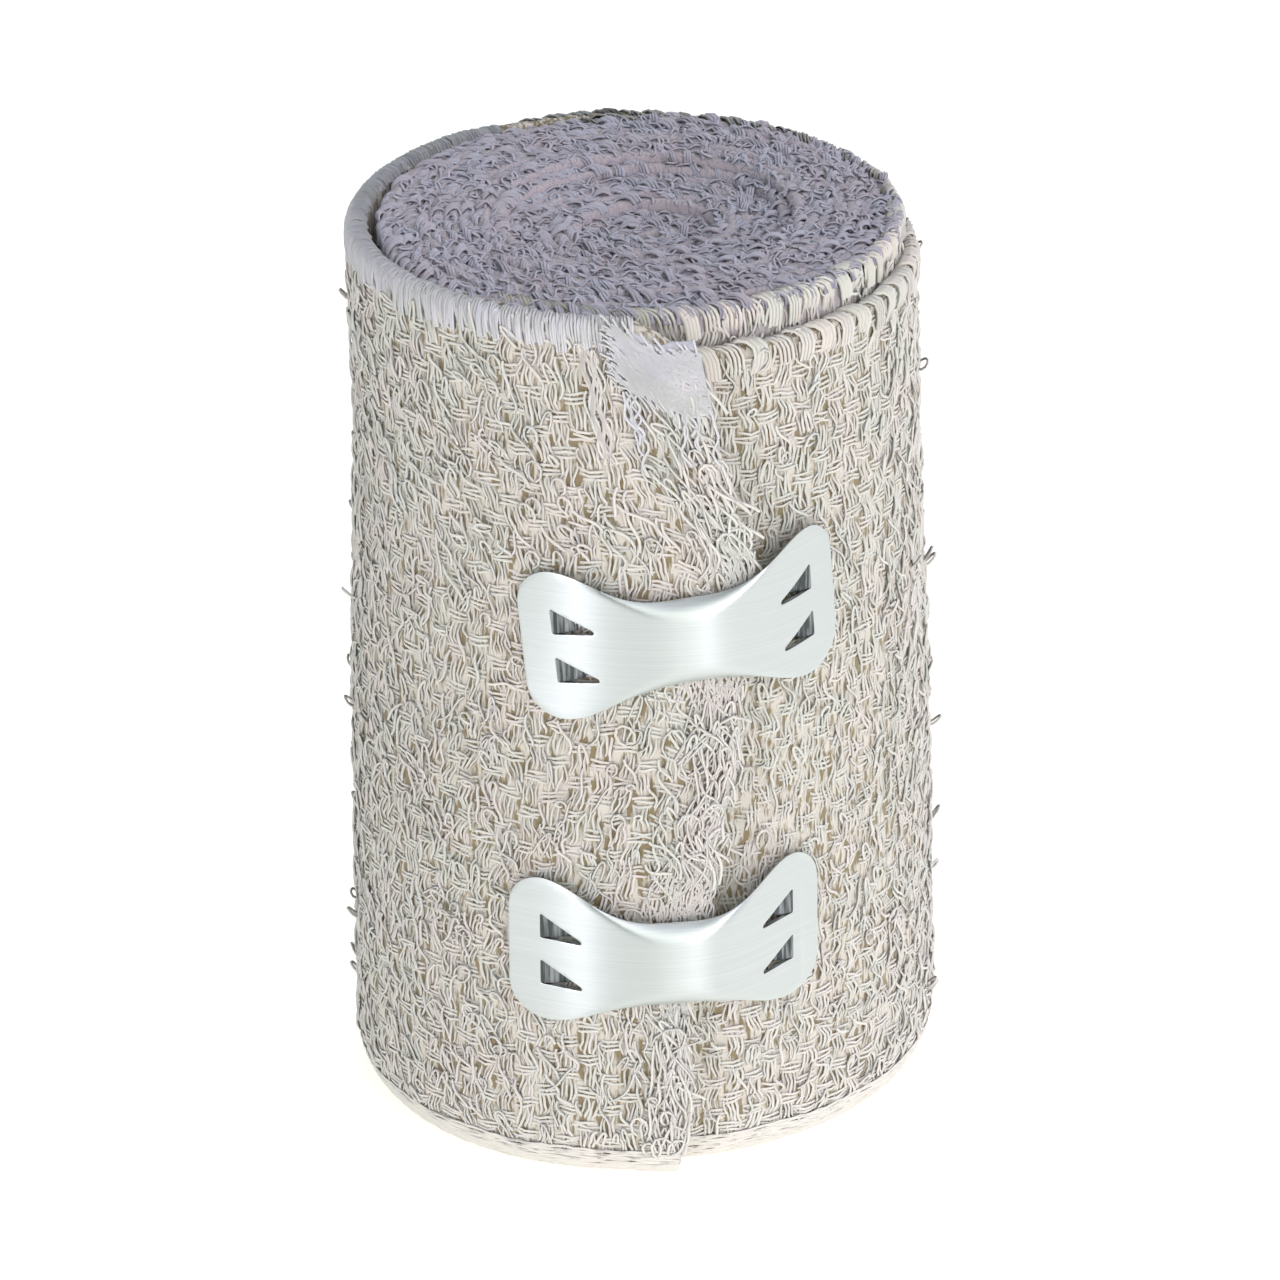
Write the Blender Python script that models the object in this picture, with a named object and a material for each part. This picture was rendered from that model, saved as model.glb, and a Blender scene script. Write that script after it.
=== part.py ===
"""A crepe bandage roll, standing on end and closed with two bent metal clips.

Metres, +Z up. The origin is the middle of the footprint, and the front of the roll faces -Y.
An angle round the roll is measured from the front towards +X, so it runs counter-clockwise
seen from above. The cloth winds outwards in that direction and ends a little right of the front.
"""

import math

import bmesh
import bpy
from mathutils import Matrix, Vector

MM = 0.001

# The wound cloth
ROLL_HEIGHT = 75.0 * MM
FOOT_RADIUS = 23.0 * MM
CROWN_RADIUS = 21.75 * MM
TURNS = 14
TURN_PITCH = 1.5 * MM
CLOTH_THICKNESS = 1.2 * MM
COLUMNS_PER_TURN = 60
SHEET_COLUMNS = 27
SHEET_FINER_BY = 6
HEART_OFFSET = 0.3 * MM
FOOT_MIDDLE_OFFSET = 2.0 * MM
GROOVE_DEPTH = 0.45 * MM
LOOSE_EDGE_ANGLE = math.radians(14.0)
CORE_SHIFT = Vector((1.2, 0.8)) * MM

# The axis of the winding, from the middle of the footprint's box
AXIS = Vector((0.46, 0.97)) * MM

# How the roll departs from an even cone
OVAL_AT_FOOT = 0.06
OVAL_ANGLE = math.radians(-72.0)
LOBE_HEIGHT = 0.12 * MM
WAVE_HEIGHT = 0.12 * MM
FOOT_ROUND_HEIGHT = 5.5 * MM
FOOT_ROUND_INSET = 3.4 * MM
RIM_ROUND_HEIGHT = 1.0 * MM
RIM_ROUND_INSET = 0.4 * MM

# The top falls in two steps towards the middle: radius of each step, and how far it falls
TERRACES = (
    (11.6 * MM, 1.3 * MM),
    (5.6 * MM, 1.1 * MM),
)
TERRACE_WIDTH = 1.8 * MM
INNER_TOP_DROP = 0.5 * MM

# The last turn before the loose end has slipped down, most of all on the right
SLIP_DROP = 3.0 * MM
SLIP_START = math.radians(-25.0)
SLIP_FULL = math.radians(0.0)
SLIP_HOLD = math.radians(95.0)
SLIP_GONE = math.radians(175.0)

# On the left the outer wrap stands off the turn inside it, near the top
LEFT_GAP_MIDDLE = math.radians(-85.0)
LEFT_GAP_REACH = math.radians(60.0)
LEFT_GAP_FROM = 58.0 * MM
LEFT_GAP_FULL = 72.0 * MM
LEFT_GAP_INNER = 0.7 * MM
LEFT_GAP_OUTER = 0.3 * MM

# The loose end
SHEET_FOOT = 0.8 * MM
CLEARANCE = 0.3 * MM
SHEET_CORNER_DROP = 2.6 * MM
SHEET_CORNER_FROM = -1.0 * MM
SHEET_CORNER_WIDTH = 5.0 * MM
SHEET_RIM_ROUND = 0.35 * MM
END_LIFT = 0.5 * MM
END_LIFT_WIDTH = math.radians(14.0)
CORNER_FOLD_HEIGHT = 0.5 * MM
CORNER_FOLD_MIDDLE = (math.radians(5.5), 71.0 * MM)
CORNER_FOLD_REACH = (math.radians(6.5), 2.6 * MM)

# The cut edge slants and bends: height above the foot, and distance round the front from its middle
LOOSE_EDGE = (
    (0.0 * MM, 2.0 * MM),
    (16.6 * MM, 2.6 * MM),
    (30.5 * MM, 4.9 * MM),
    (41.0 * MM, 6.5 * MM),
    (55.5 * MM, 7.6 * MM),
    (65.0 * MM, 5.2 * MM),
    (70.0 * MM, 4.2 * MM),
    (75.0 * MM, 3.4 * MM),
)

# Heights of the rows of points up the wall and the loose end, below their rims
WALL_ROWS = tuple(z * MM for z in (0.0, 0.5, 1.5, 3.2, 5.5, 10, 16, 22, 28, 34, 40, 46, 52, 58, 63, 67))
SHEET_ROWS = (
    SHEET_FOOT,
    *(z * MM for z in (1.8, 3.4, 5.5, 10, 16, 22, 28, 34, 40, 46, 52, 58, 62, 65.5, 68.5)),
)

# The clips are one stamping: a bow-tie plate with four windows, four teeth and two curled lips
CLIP_HALF_LENGTH = 13.1 * MM
CLIP_LOBE = 6.2 * MM
CLIP_WAIST = 3.6 * MM
CLIP_CORNER = 2.9 * MM
CLIP_SWELL_POWER = 1.4
CLIP_THICKNESS = 0.45 * MM
CLIP_STANDOFF = 0.3 * MM
CLIP_BOW = 0.45 * MM
CLIP_DROP_WIDTH = 9.0 * MM
CLIP_OVER_CLOTH = 1.2 * MM
CLIP_CLEAR_OF_EDGE = 1.0 * MM
CLIP_HOLD_REACH = 10.0 * MM
LIP_RADIUS = 0.8 * MM
LIP_EDGE = 0.12 * MM
LIP_TURN = math.radians(80.0)
LIP_STEPS = 3
LIP_REACH = 8.0 * MM
WINDOW_MIDDLE = 2.05 * MM
WINDOW_BASE = 10.5 * MM
WINDOW_APEX = 7.3 * MM
WINDOW_HALF_BASE = 1.05 * MM
WINDOW_HALF_APEX = 0.12 * MM
TOOTH_FOOT = 0.45 * MM
TOOTH_LENGTH = 2.4 * MM
TOOTH_TIP = 0.3
POCKET_CLEARANCE = 0.35 * MM
CLIP_COLUMNS = (
    *(u * MM for u in (0.0, 1.3, 2.6, 3.9, 5.1, 6.2)),
    *(WINDOW_APEX + (WINDOW_BASE - WINDOW_APEX) * share for share in (0.0, 0.34, 0.68, 1.0)),
    WINDOW_BASE + TOOTH_FOOT,
    *(CLIP_HALF_LENGTH - u * MM for u in (1.3, 0.7, 0.25, 0.0)),
)

# Each clip: where its middle lies round the front and up the roll, and its tilt
CLIPS = {
    "clip_upper": (3.4 * MM, 49.2 * MM, math.radians(5.8)),
    "clip_lower": (1.9 * MM, 22.0 * MM, math.radians(-0.2)),
}

# Finish of each part: colour, roughness, metallic
FINISHES = {
    "crepe_cloth": ((0.50, 0.46, 0.40), 0.92, 0.0),
    "clip_metal": ((0.78, 0.80, 0.79), 0.30, 1.0),
}


def smooth(value):
    """0 up to 0, 1 from 1 on, and a soft S between them."""
    value = min(max(value, 0.0), 1.0)
    return value * value * (3.0 - 2.0 * value)


def bump(value):
    """1 at 0, falling softly to 0 at -1 and 1."""
    return 1.0 - smooth(abs(value))


def between(value, pairs):
    """The second number of the pairs at this value of the first, in straight runs."""
    for (low, at_low), (high, at_high) in zip(pairs, pairs[1:]):
        if value <= high:
            share = max(value - low, 0.0) / (high - low)
            return at_low + (at_high - at_low) * share
    return pairs[-1][1]


def half_turned(angle):
    """The same angle, between minus and plus half a turn."""
    return (angle + math.pi) % (2.0 * math.pi) - math.pi


def place(radius, angle, height, shift=Vector((0.0, 0.0))):
    """The point at this radius, angle and height, about the axis or one shifted from it."""
    middle = AXIS + shift
    return Vector((middle.x + radius * math.sin(angle), middle.y - radius * math.cos(angle), height))


def body_radius(angle, height):
    """The mean outer radius: a cone, oval towards its foot and slightly lobed."""
    up = height / ROLL_HEIGHT
    radius = FOOT_RADIUS + (CROWN_RADIUS - FOOT_RADIUS) * up
    oval = OVAL_AT_FOOT * (1.0 - up) * math.cos(2.0 * (angle - OVAL_ANGLE))
    lobes = LOBE_HEIGHT * math.sin(3.0 * angle + 0.6) * (1.0 - up)
    waves = WAVE_HEIGHT * math.sin(2.0 * math.pi * 1.6 * up + 2.0 * angle)
    return radius * (1.0 + oval) + lobes + waves


def foot_inset(height):
    """How far the wall curls in under the roll at this height."""
    below = max(1.0 - height / FOOT_ROUND_HEIGHT, 0.0)
    return FOOT_ROUND_INSET * (1.0 - math.sqrt(1.0 - below * below))


def turn_angle(turn):
    return LOOSE_EDGE_ANGLE + 2.0 * math.pi * (turn - TURNS)


def turn_radius(turn, height):
    """The outer radius of the cloth at this point of its winding, counted in turns from the middle."""
    return body_radius(turn_angle(turn), height) + TURN_PITCH * (turn - TURNS + 0.5) - foot_inset(height)


def left_gap(angle, height):
    """1 where the outer wrap stands off the most, 0 where it lies against the roll."""
    along = bump(half_turned(angle - LEFT_GAP_MIDDLE) / LEFT_GAP_REACH)
    return along * smooth((height - LEFT_GAP_FROM) / (LEFT_GAP_FULL - LEFT_GAP_FROM))


def slip(past_edge):
    """1 where the last turn has slipped down fully; the angle is counted from the loose edge."""
    return smooth((past_edge - SLIP_START) / (SLIP_FULL - SLIP_START)) * (
        1.0 - smooth((past_edge - SLIP_HOLD) / (SLIP_GONE - SLIP_HOLD))
    )


def crest_height(turn, last_turn_starts):
    """The height of this turn's upper edge."""
    radius = turn_radius(turn, ROLL_HEIGHT)
    height = ROLL_HEIGHT - INNER_TOP_DROP
    for step_radius, fall in TERRACES:
        height -= fall * smooth((step_radius - radius) / TERRACE_WIDTH + 0.5)
    if turn > last_turn_starts:
        past_edge = 2.0 * math.pi * (turn - (TURNS - 1))
        height -= SLIP_DROP * slip(past_edge)
    return height


def new_object(name, shape, finish):
    """Turns the bmesh into an object with its material."""
    mesh = bpy.data.meshes.new(name)
    shape.normal_update()
    shape.to_mesh(mesh)
    shape.free()
    made = bpy.data.objects.new(name, mesh)
    bpy.context.scene.collection.objects.link(made)
    if finish:
        mesh.materials.append(material(finish))
    mesh.shade_smooth()
    mesh.set_sharp_from_angle(angle=math.radians(45.0))
    return made


def material(finish):
    made = bpy.data.materials.get(finish)
    if made:
        return made
    colour, roughness, metallic = FINISHES[finish]
    made = bpy.data.materials.new(finish)
    made.use_nodes = True
    shader = made.node_tree.nodes["Principled BSDF"]
    shader.inputs["Base Color"].default_value = (*colour, 1.0)
    shader.inputs["Roughness"].default_value = roughness
    shader.inputs["Metallic"].default_value = metallic
    return made


def wound_roll():
    """The wound body: a spiral of turns on top, the last turn's wall round it, and a flat foot."""
    shape = bmesh.new()
    last = COLUMNS_PER_TURN * TURNS - SHEET_COLUMNS
    outer_from = last - COLUMNS_PER_TURN
    sheet_ends = COLUMNS_PER_TURN * (TURNS - 1)
    crests, grooves = [], []
    for index in range(last + 1):
        turn = index / COLUMNS_PER_TURN
        angle = turn_angle(turn)
        shift = CORE_SHIFT * (1.0 - turn / TURNS) if index < outer_from else Vector((0.0, 0.0))
        height = crest_height(turn, outer_from / COLUMNS_PER_TURN)
        radius = turn_radius(turn, height)
        if index >= outer_from:
            radius -= RIM_ROUND_INSET
        if outer_from <= index < sheet_ends:
            radius -= LEFT_GAP_INNER * left_gap(angle, height)
        crests.append(shape.verts.new(place(radius, angle, height, shift)))
        groove = turn_radius(turn, height) - TURN_PITCH / 2.0 - RIM_ROUND_INSET
        grooves.append(shape.verts.new(place(groove, angle, height - GROOVE_DEPTH, shift)))
    for index in range(last):
        shape.faces.new((grooves[index], crests[index], crests[index + 1], grooves[index + 1]))
    for index in range(outer_from):
        outside = index + COLUMNS_PER_TURN
        shape.faces.new((crests[index], grooves[outside], grooves[outside + 1], crests[index + 1]))

    heart_height = crest_height(0.0, TURNS) - GROOVE_DEPTH
    heart_angle = turn_angle(0.0) - math.radians(60.0)
    heart = shape.verts.new(place(HEART_OFFSET, heart_angle, heart_height, CORE_SHIFT))
    inner_loop = [*grooves[: COLUMNS_PER_TURN + 1], crests[0], grooves[0]]
    for near, far in zip(inner_loop, inner_loop[1:]):
        shape.faces.new((heart, near, far))

    walls = []
    for index in range(outer_from, last + 1):
        turn = index / COLUMNS_PER_TURN
        angle = turn_angle(turn)
        rim = crest_height(turn, outer_from / COLUMNS_PER_TURN)
        heights = [*WALL_ROWS, rim - RIM_ROUND_HEIGHT]
        column = []
        for height in heights:
            radius = turn_radius(turn, height)
            if index < sheet_ends:
                radius -= LEFT_GAP_INNER * left_gap(angle, height)
            column.append(shape.verts.new(place(radius, angle, height)))
        walls.append([*column, crests[index]])
    for here, there in zip(walls, walls[1:]):
        for row in range(len(here) - 1):
            shape.faces.new((here[row], there[row], there[row + 1], here[row + 1]))

    # The step where the outer turn leaves the roll and the loose end begins
    inner, outer = walls[0], walls[-1]
    for row in range(len(inner) - 2):
        shape.faces.new((inner[row], inner[row + 1], outer[row + 1], outer[row]))
    shape.faces.new((inner[-2], inner[-1], grooves[last]))
    shape.faces.new((inner[-2], grooves[last], outer[-2]))
    shape.faces.new((outer[-2], grooves[last], outer[-1]))

    # The foot is flat, and its middle lies a little to one side so that no face is a line
    foot_angle = turn_angle(last / COLUMNS_PER_TURN) - math.radians(90.0)
    foot_middle = shape.verts.new(place(FOOT_MIDDLE_OFFSET, foot_angle, 0.0))
    foot_loop = [column[0] for column in walls]
    for near, far in zip(foot_loop, foot_loop[1:] + foot_loop[:1]):
        shape.faces.new((foot_middle, far, near))
    return new_object("wound_roll", shape, "crepe_cloth")


def edge_angle(height):
    """The angle of the cut edge at this height."""
    return between(height, LOOSE_EDGE) / body_radius(0.0, height)


def clip_hold(height):
    """1 where a clip holds the loose end down, 0 far from the clips."""
    return max(bump((height - middle) / CLIP_HOLD_REACH) for _, middle, _ in CLIPS.values())


def sheet_outer_radius(angle, height):
    """The outer face of the loose end; the angle may run below zero to the back left."""
    turn = TURNS + (angle - LOOSE_EDGE_ANGLE) / (2.0 * math.pi)
    radius = turn_radius(turn, height) + LEFT_GAP_OUTER * left_gap(angle, height)
    near_end = smooth(1.0 - (edge_angle(height) - angle) / END_LIFT_WIDTH)
    return radius + END_LIFT * near_end * (1.0 - clip_hold(height))


def corner_fold(angle, height):
    """The turned corner at the top of the cut edge, as extra thickness."""
    across = (angle - CORNER_FOLD_MIDDLE[0]) / CORNER_FOLD_REACH[0]
    up = (height - CORNER_FOLD_MIDDLE[1]) / CORNER_FOLD_REACH[1]
    return CORNER_FOLD_HEIGHT * bump(math.hypot(across, up))


def sheet_rim_height(angle):
    """The upper edge of the loose end, which falls towards its corner."""
    past = angle * CROWN_RADIUS - SHEET_CORNER_FROM
    return ROLL_HEIGHT - SHEET_CORNER_DROP * smooth(past / SHEET_CORNER_WIDTH)


def loose_end():
    """The last part of the outer turn, a sheet that lies over the roll up to its cut edge."""
    shape = bmesh.new()
    start = turn_angle(TURNS - SHEET_COLUMNS / COLUMNS_PER_TURN) + CLEARANCE / CROWN_RADIUS
    outer, inner, ridge = [], [], []
    columns = SHEET_COLUMNS + SHEET_FINER_BY
    for index in range(columns + 1):
        share = index / columns
        rim = sheet_rim_height(start + (edge_angle(ROLL_HEIGHT) - start) * share)
        outside, inside = [], []
        for row, height in enumerate((*SHEET_ROWS, None)):
            top = height is None
            height = rim - SHEET_RIM_ROUND if top else height
            angle = start + (edge_angle(height) - start) * share
            radius = sheet_outer_radius(angle, height)
            outside.append(shape.verts.new(place(radius + corner_fold(angle, height), angle, height)))
            inside.append(shape.verts.new(place(radius - CLOTH_THICKNESS, angle, height)))
        outer.append(outside)
        inner.append(inside)
        ridge_radius = sheet_outer_radius(angle, rim) - CLOTH_THICKNESS / 2.0
        ridge.append(shape.verts.new(place(ridge_radius, angle, rim)))
    rows = len(outer[0])
    for near in range(columns):
        far = near + 1
        for row in range(rows - 1):
            shape.faces.new((outer[near][row], outer[far][row], outer[far][row + 1], outer[near][row + 1]))
            shape.faces.new((inner[far][row], inner[near][row], inner[near][row + 1], inner[far][row + 1]))
        shape.faces.new((inner[near][0], inner[far][0], outer[far][0], outer[near][0]))
        shape.faces.new((outer[near][-1], outer[far][-1], ridge[far], ridge[near]))
        shape.faces.new((ridge[near], ridge[far], inner[far][-1], inner[near][-1]))
    for row in range(rows - 1):
        shape.faces.new((inner[0][row], outer[0][row], outer[0][row + 1], inner[0][row + 1]))
        shape.faces.new((outer[-1][row], inner[-1][row], inner[-1][row + 1], outer[-1][row + 1]))
    shape.faces.new((inner[0][-1], outer[0][-1], ridge[0]))
    shape.faces.new((outer[-1][-1], inner[-1][-1], ridge[-1]))
    return new_object("loose_end", shape, "crepe_cloth")


def clip_half_width(along):
    """Half the width of the clip at this distance from its middle."""
    along = abs(along)
    corner_from = CLIP_HALF_LENGTH - CLIP_CORNER
    if along > corner_from:
        reach = min(along - corner_from, CLIP_CORNER)
        return CLIP_LOBE - CLIP_CORNER + math.sqrt(CLIP_CORNER**2 - reach**2)
    swell = smooth((along / corner_from) ** CLIP_SWELL_POWER)
    return CLIP_WAIST + (CLIP_LOBE - CLIP_WAIST) * swell


def window_half_height(along):
    """Half the spacing of the two rows of points that bound a window."""
    along = abs(along)
    if along > WINDOW_BASE + TOOTH_FOOT:
        past = (along - WINDOW_BASE - TOOTH_FOOT) / (CLIP_HALF_LENGTH - WINDOW_BASE - TOOTH_FOOT)
        return WINDOW_HALF_BASE * (1.0 - 0.75 * past)
    if along > WINDOW_BASE:
        return WINDOW_HALF_BASE
    if along > WINDOW_APEX:
        share = (along - WINDOW_APEX) / (WINDOW_BASE - WINDOW_APEX)
        return WINDOW_HALF_APEX + (WINDOW_HALF_BASE - WINDOW_HALF_APEX) * share
    return WINDOW_HALF_APEX


def clip_rows(along):
    """(distance across, depth) of each point from the clip's middle line to its curled edge."""
    half = clip_half_width(along)
    window = window_half_height(along)
    lip = LIP_EDGE + (LIP_RADIUS - LIP_EDGE) * (1.0 - smooth(abs(along) / LIP_REACH))
    rows = [(WINDOW_MIDDLE - window, 0.0), (WINDOW_MIDDLE + window, 0.0)]
    for step in range(LIP_STEPS + 1):
        bend = LIP_TURN * step / LIP_STEPS
        rows.append((half - lip + lip * math.sin(bend), lip * (1.0 - math.cos(bend))))
    return [(-across, depth) for across, depth in reversed(rows)] + [(0.0, 0.0)] + rows


def clip_point(clip, along, across, depth):
    """The point of a clip at this place of its plate and this depth below its outer face."""
    middle, height_of_middle, tilt = clip
    round_front = middle + along * math.cos(tilt) - across * math.sin(tilt)
    height = height_of_middle + along * math.sin(tilt) + across * math.cos(tilt)
    plate_radius = body_radius(0.0, height_of_middle) + CLIP_OVER_CLOTH
    angle = round_front / plate_radius
    drop_from = edge_angle(height_of_middle) * plate_radius + CLIP_CLEAR_OF_EDGE
    past_edge = (round_front - drop_from) / CLIP_DROP_WIDTH
    sheet_radius = turn_radius(TURNS + (angle - LOOSE_EDGE_ANGLE) / (2.0 * math.pi), height)
    bow = CLIP_BOW * bump(along / CLIP_HALF_LENGTH)
    radius = sheet_radius + CLIP_STANDOFF + CLIP_THICKNESS + bow
    radius -= (CLOTH_THICKNESS + CLEARANCE) * smooth(past_edge)
    return place(radius - depth, angle, height)


def clip_normal(clip, along, across):
    """The outward direction of the clip's plate there."""
    step = 0.2 * MM
    side = clip_point(clip, along + step, across, 0.0) - clip_point(clip, along - step, across, 0.0)
    up = clip_point(clip, along, across + step, 0.0) - clip_point(clip, along, across - step, 0.0)
    return side.cross(up).normalized()


def clip_plate(name, clip):
    """One clip as a closed plate with windows, curled lips and teeth."""
    shape = bmesh.new()
    stations = [-u for u in reversed(CLIP_COLUMNS[1:])] + list(CLIP_COLUMNS)
    face, back = [], []
    for along in stations:
        rows = clip_rows(along)
        outer = [clip_point(clip, along, across, depth) for across, depth in rows]
        normal = clip_normal(clip, along, 0.0)
        ahead = clip_point(clip, along + LIP_EDGE, 0.0, 0.0)
        line_along = (ahead - clip_point(clip, along, 0.0, 0.0)).normalized()
        inner = []
        for row, point in enumerate(outer):
            before = outer[max(row - 1, 0)]
            after = outer[min(row + 1, len(outer) - 1)]
            outward = line_along.cross(after - before).normalized()
            outward = outward if outward.dot(normal) > 0.0 else -outward
            inner.append(point - outward * CLIP_THICKNESS)
        face.append([shape.verts.new(point) for point in outer])
        back.append([shape.verts.new(point) for point in inner])
    rows = len(face[0])
    middle_row = rows // 2
    window_rows = (middle_row - 2, middle_row + 1)

    def is_window(column, row):
        low, high = sorted((abs(stations[column]), abs(stations[column + 1])))
        return row in window_rows and low >= WINDOW_APEX - 1e-9 and high <= WINDOW_BASE + 1e-9

    def is_tooth(column, row):
        low, high = sorted((abs(stations[column]), abs(stations[column + 1])))
        return row in window_rows and low >= WINDOW_BASE - 1e-9 and high <= WINDOW_BASE + TOOTH_FOOT + 1e-9

    cells = {(c, r) for c in range(len(stations) - 1) for r in range(rows - 1) if not is_window(c, r)}
    for column, row in sorted(cells):
        corners = ((column, row), (column + 1, row), (column + 1, row + 1), (column, row + 1))
        shape.faces.new([face[c][r] for c, r in corners])
        under = [back[c][r] for c, r in reversed(corners)]
        if is_tooth(column, row):
            add_tooth(shape, under)
        else:
            shape.faces.new(under)
        around = ((column, row - 1), (column + 1, row), (column, row + 1), (column - 1, row))
        for side, neighbour in enumerate(around):
            if neighbour not in cells:
                (c1, r1), (c2, r2) = corners[side], corners[(side + 1) % 4]
                shape.faces.new((face[c2][r2], face[c1][r1], back[c1][r1], back[c2][r2]))
    return new_object(name, shape, "clip_metal")


def add_tooth(shape, under):
    """Grows a tooth from one face of the clip's back, narrowing to its tip."""
    points = [vert.co.copy() for vert in under]
    middle = sum(points, Vector()) / 4.0
    inward = (points[1] - points[0]).cross(points[2] - points[1]).normalized()
    tip_middle = middle + inward * TOOTH_LENGTH
    tip = [shape.verts.new(tip_middle + (point - middle) * TOOTH_TIP) for point in points]
    for side in range(4):
        ahead = (side + 1) % 4
        shape.faces.new((under[side], under[ahead], tip[ahead], tip[side]))
    shape.faces.new(tip)


def tooth_pockets():
    """Boxes round every tooth, cut from the cloth so that each tooth has its own hole."""
    shape = bmesh.new()
    along_tooth = WINDOW_BASE + TOOTH_FOOT / 2.0
    for clip in CLIPS.values():
        for end in (-1, 1):
            for side in (-1, 1):
                along, across = end * along_tooth, side * WINDOW_MIDDLE
                normal = clip_normal(clip, along, across)
                root = clip_point(clip, along, across, 0.0) - normal * CLIP_THICKNESS
                beside = clip_point(clip, along, across + LIP_EDGE, 0.0)
                across_step = beside - clip_point(clip, along, across, 0.0)
                across_line = (across_step - normal * across_step.dot(normal)).normalized()
                along_line = across_line.cross(normal)
                turned = Matrix((along_line, across_line, normal)).transposed().to_4x4()
                depth = TOOTH_LENGTH + 2.0 * POCKET_CLEARANCE + CLIP_STANDOFF
                sides = (
                    TOOTH_FOOT + 2.0 * POCKET_CLEARANCE,
                    2.0 * WINDOW_HALF_BASE + 2.0 * POCKET_CLEARANCE,
                    2.0 * depth,
                )
                middle = root + normal * (depth - TOOTH_LENGTH - POCKET_CLEARANCE)
                matrix = Matrix.Translation(middle) @ turned @ Matrix.Diagonal((*sides, 1.0))
                bmesh.ops.create_cube(shape, size=1.0, matrix=matrix)
    pockets = new_object("tooth_pockets", shape, None)
    pockets.hide_render = True
    pockets.display_type = "WIRE"
    return pockets


def cut_pockets(cloth, pockets):
    cut = cloth.modifiers.new("tooth pockets", "BOOLEAN")
    cut.operation = "DIFFERENCE"
    cut.object = pockets


def main():
    for old in list(bpy.data.objects):
        bpy.data.objects.remove(old)
    cloths = [wound_roll(), loose_end()]
    for name, clip in CLIPS.items():
        clip_plate(name, clip)
    pockets = tooth_pockets()
    for cloth in cloths:
        cut_pockets(cloth, pockets)


main()
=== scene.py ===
# %% [markdown]
# # A crepe bandage roll, closed with two metal clips
# The real thing is one long strip of cream crepe, wound on itself and stood on end. Crepe is woven
# from over-twisted cotton: the upright threads lie in bundles and throw up small snarls, and the
# selvedge is a row of hooked loops. This lesson builds the strip as a thin sheet wound in a true
# spiral, and then grows the threads that cover it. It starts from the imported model, which fixes
# where everything is, and the numbers below repeat the sizes that the solids were made with.

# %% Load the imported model
import math

import bmesh
import bpy
import numpy as np
from mathutils import Matrix, Vector


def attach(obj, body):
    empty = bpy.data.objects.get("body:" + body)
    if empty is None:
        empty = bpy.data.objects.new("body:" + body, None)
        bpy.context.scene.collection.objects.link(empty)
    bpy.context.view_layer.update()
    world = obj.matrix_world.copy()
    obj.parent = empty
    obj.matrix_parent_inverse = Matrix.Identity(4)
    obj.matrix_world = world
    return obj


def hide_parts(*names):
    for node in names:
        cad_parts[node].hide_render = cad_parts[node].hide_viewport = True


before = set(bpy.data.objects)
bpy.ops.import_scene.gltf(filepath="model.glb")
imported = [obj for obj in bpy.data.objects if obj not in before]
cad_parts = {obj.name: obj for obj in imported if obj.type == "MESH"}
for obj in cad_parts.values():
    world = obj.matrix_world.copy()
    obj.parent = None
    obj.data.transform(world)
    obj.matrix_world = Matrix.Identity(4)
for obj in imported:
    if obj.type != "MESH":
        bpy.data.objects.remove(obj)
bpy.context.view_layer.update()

MM = 0.001

# %% [markdown]
# ## The camera
# The photograph was taken from in front and a little above, from about half a metre. So close, the
# top of the roll is seen flatter than its foot. A wide lens from nearer or a long one from farther
# off would change that, so the eye's place, the tilt and the lens all matter.

# %% Camera
CAMERA_PLACE = (0.0, -391.5 * MM, 235.5 * MM)
CAMERA_DOWN = math.radians(26.77)
CAMERA_ROLL = math.radians(-0.99)
CAMERA_LENS = 152.9
CAMERA_SENSOR = 36.0
CAMERA_NEAREST = 10.0 * MM


def add_camera():
    camera = bpy.data.objects.new("camera", bpy.data.cameras.new("camera"))
    bpy.context.scene.collection.objects.link(camera)
    turn = Matrix.Rotation(math.pi / 2.0 - CAMERA_DOWN, 4, "X") @ Matrix.Rotation(CAMERA_ROLL, 4, "Z")
    camera.matrix_world = Matrix.Translation(CAMERA_PLACE) @ turn
    camera.data.sensor_width = CAMERA_SENSOR
    camera.data.lens = CAMERA_LENS
    camera.data.clip_start = CAMERA_NEAREST
    bpy.context.scene.camera = camera


add_camera()

# %% [markdown]
# ## The shape of the wound strip
# Every piece of cloth here lies on one surface, so that surface is a function. A place on the strip
# is given by how many wraps it is from the loose edge, counted inwards, and by its height. The
# functions take whole arrays of numbers, which is far quicker than one point at a time.

# %% Sizes of the roll
ROLL_HEIGHT = 75.0 * MM
FOOT_RADIUS = 23.0 * MM
CROWN_RADIUS = 21.75 * MM
AXIS = np.array((0.46, 0.97)) * MM
LOOSE_EDGE_ANGLE = math.radians(14.0)
OUTER_PITCH = 1.5 * MM
INNER_PITCH = 1.1 * MM
LOOSE_WRAPS = 0.45
LOOSE_RIM_BLEND = 0.06
CORE_RADIUS = 1.0 * MM
CORE_SHIFT = np.array((1.2, 0.8)) * MM
WRAPS = 1.0 + (CROWN_RADIUS - OUTER_PITCH / 2.0 - CORE_RADIUS) / INNER_PITCH

OVAL_AT_FOOT = 0.06
OVAL_ANGLE = math.radians(-72.0)
LOBE_HEIGHT = 0.12 * MM
LOBES, LOBE_PHASE = (3.0, 0.6)
WAVE_HEIGHT = 0.12 * MM
WAVES_UP, WAVES_ROUND = (1.6, 2.0)
FOOT_ROUND_HEIGHT = 5.5 * MM
FOOT_ROUND_INSET = 3.4 * MM

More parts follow.
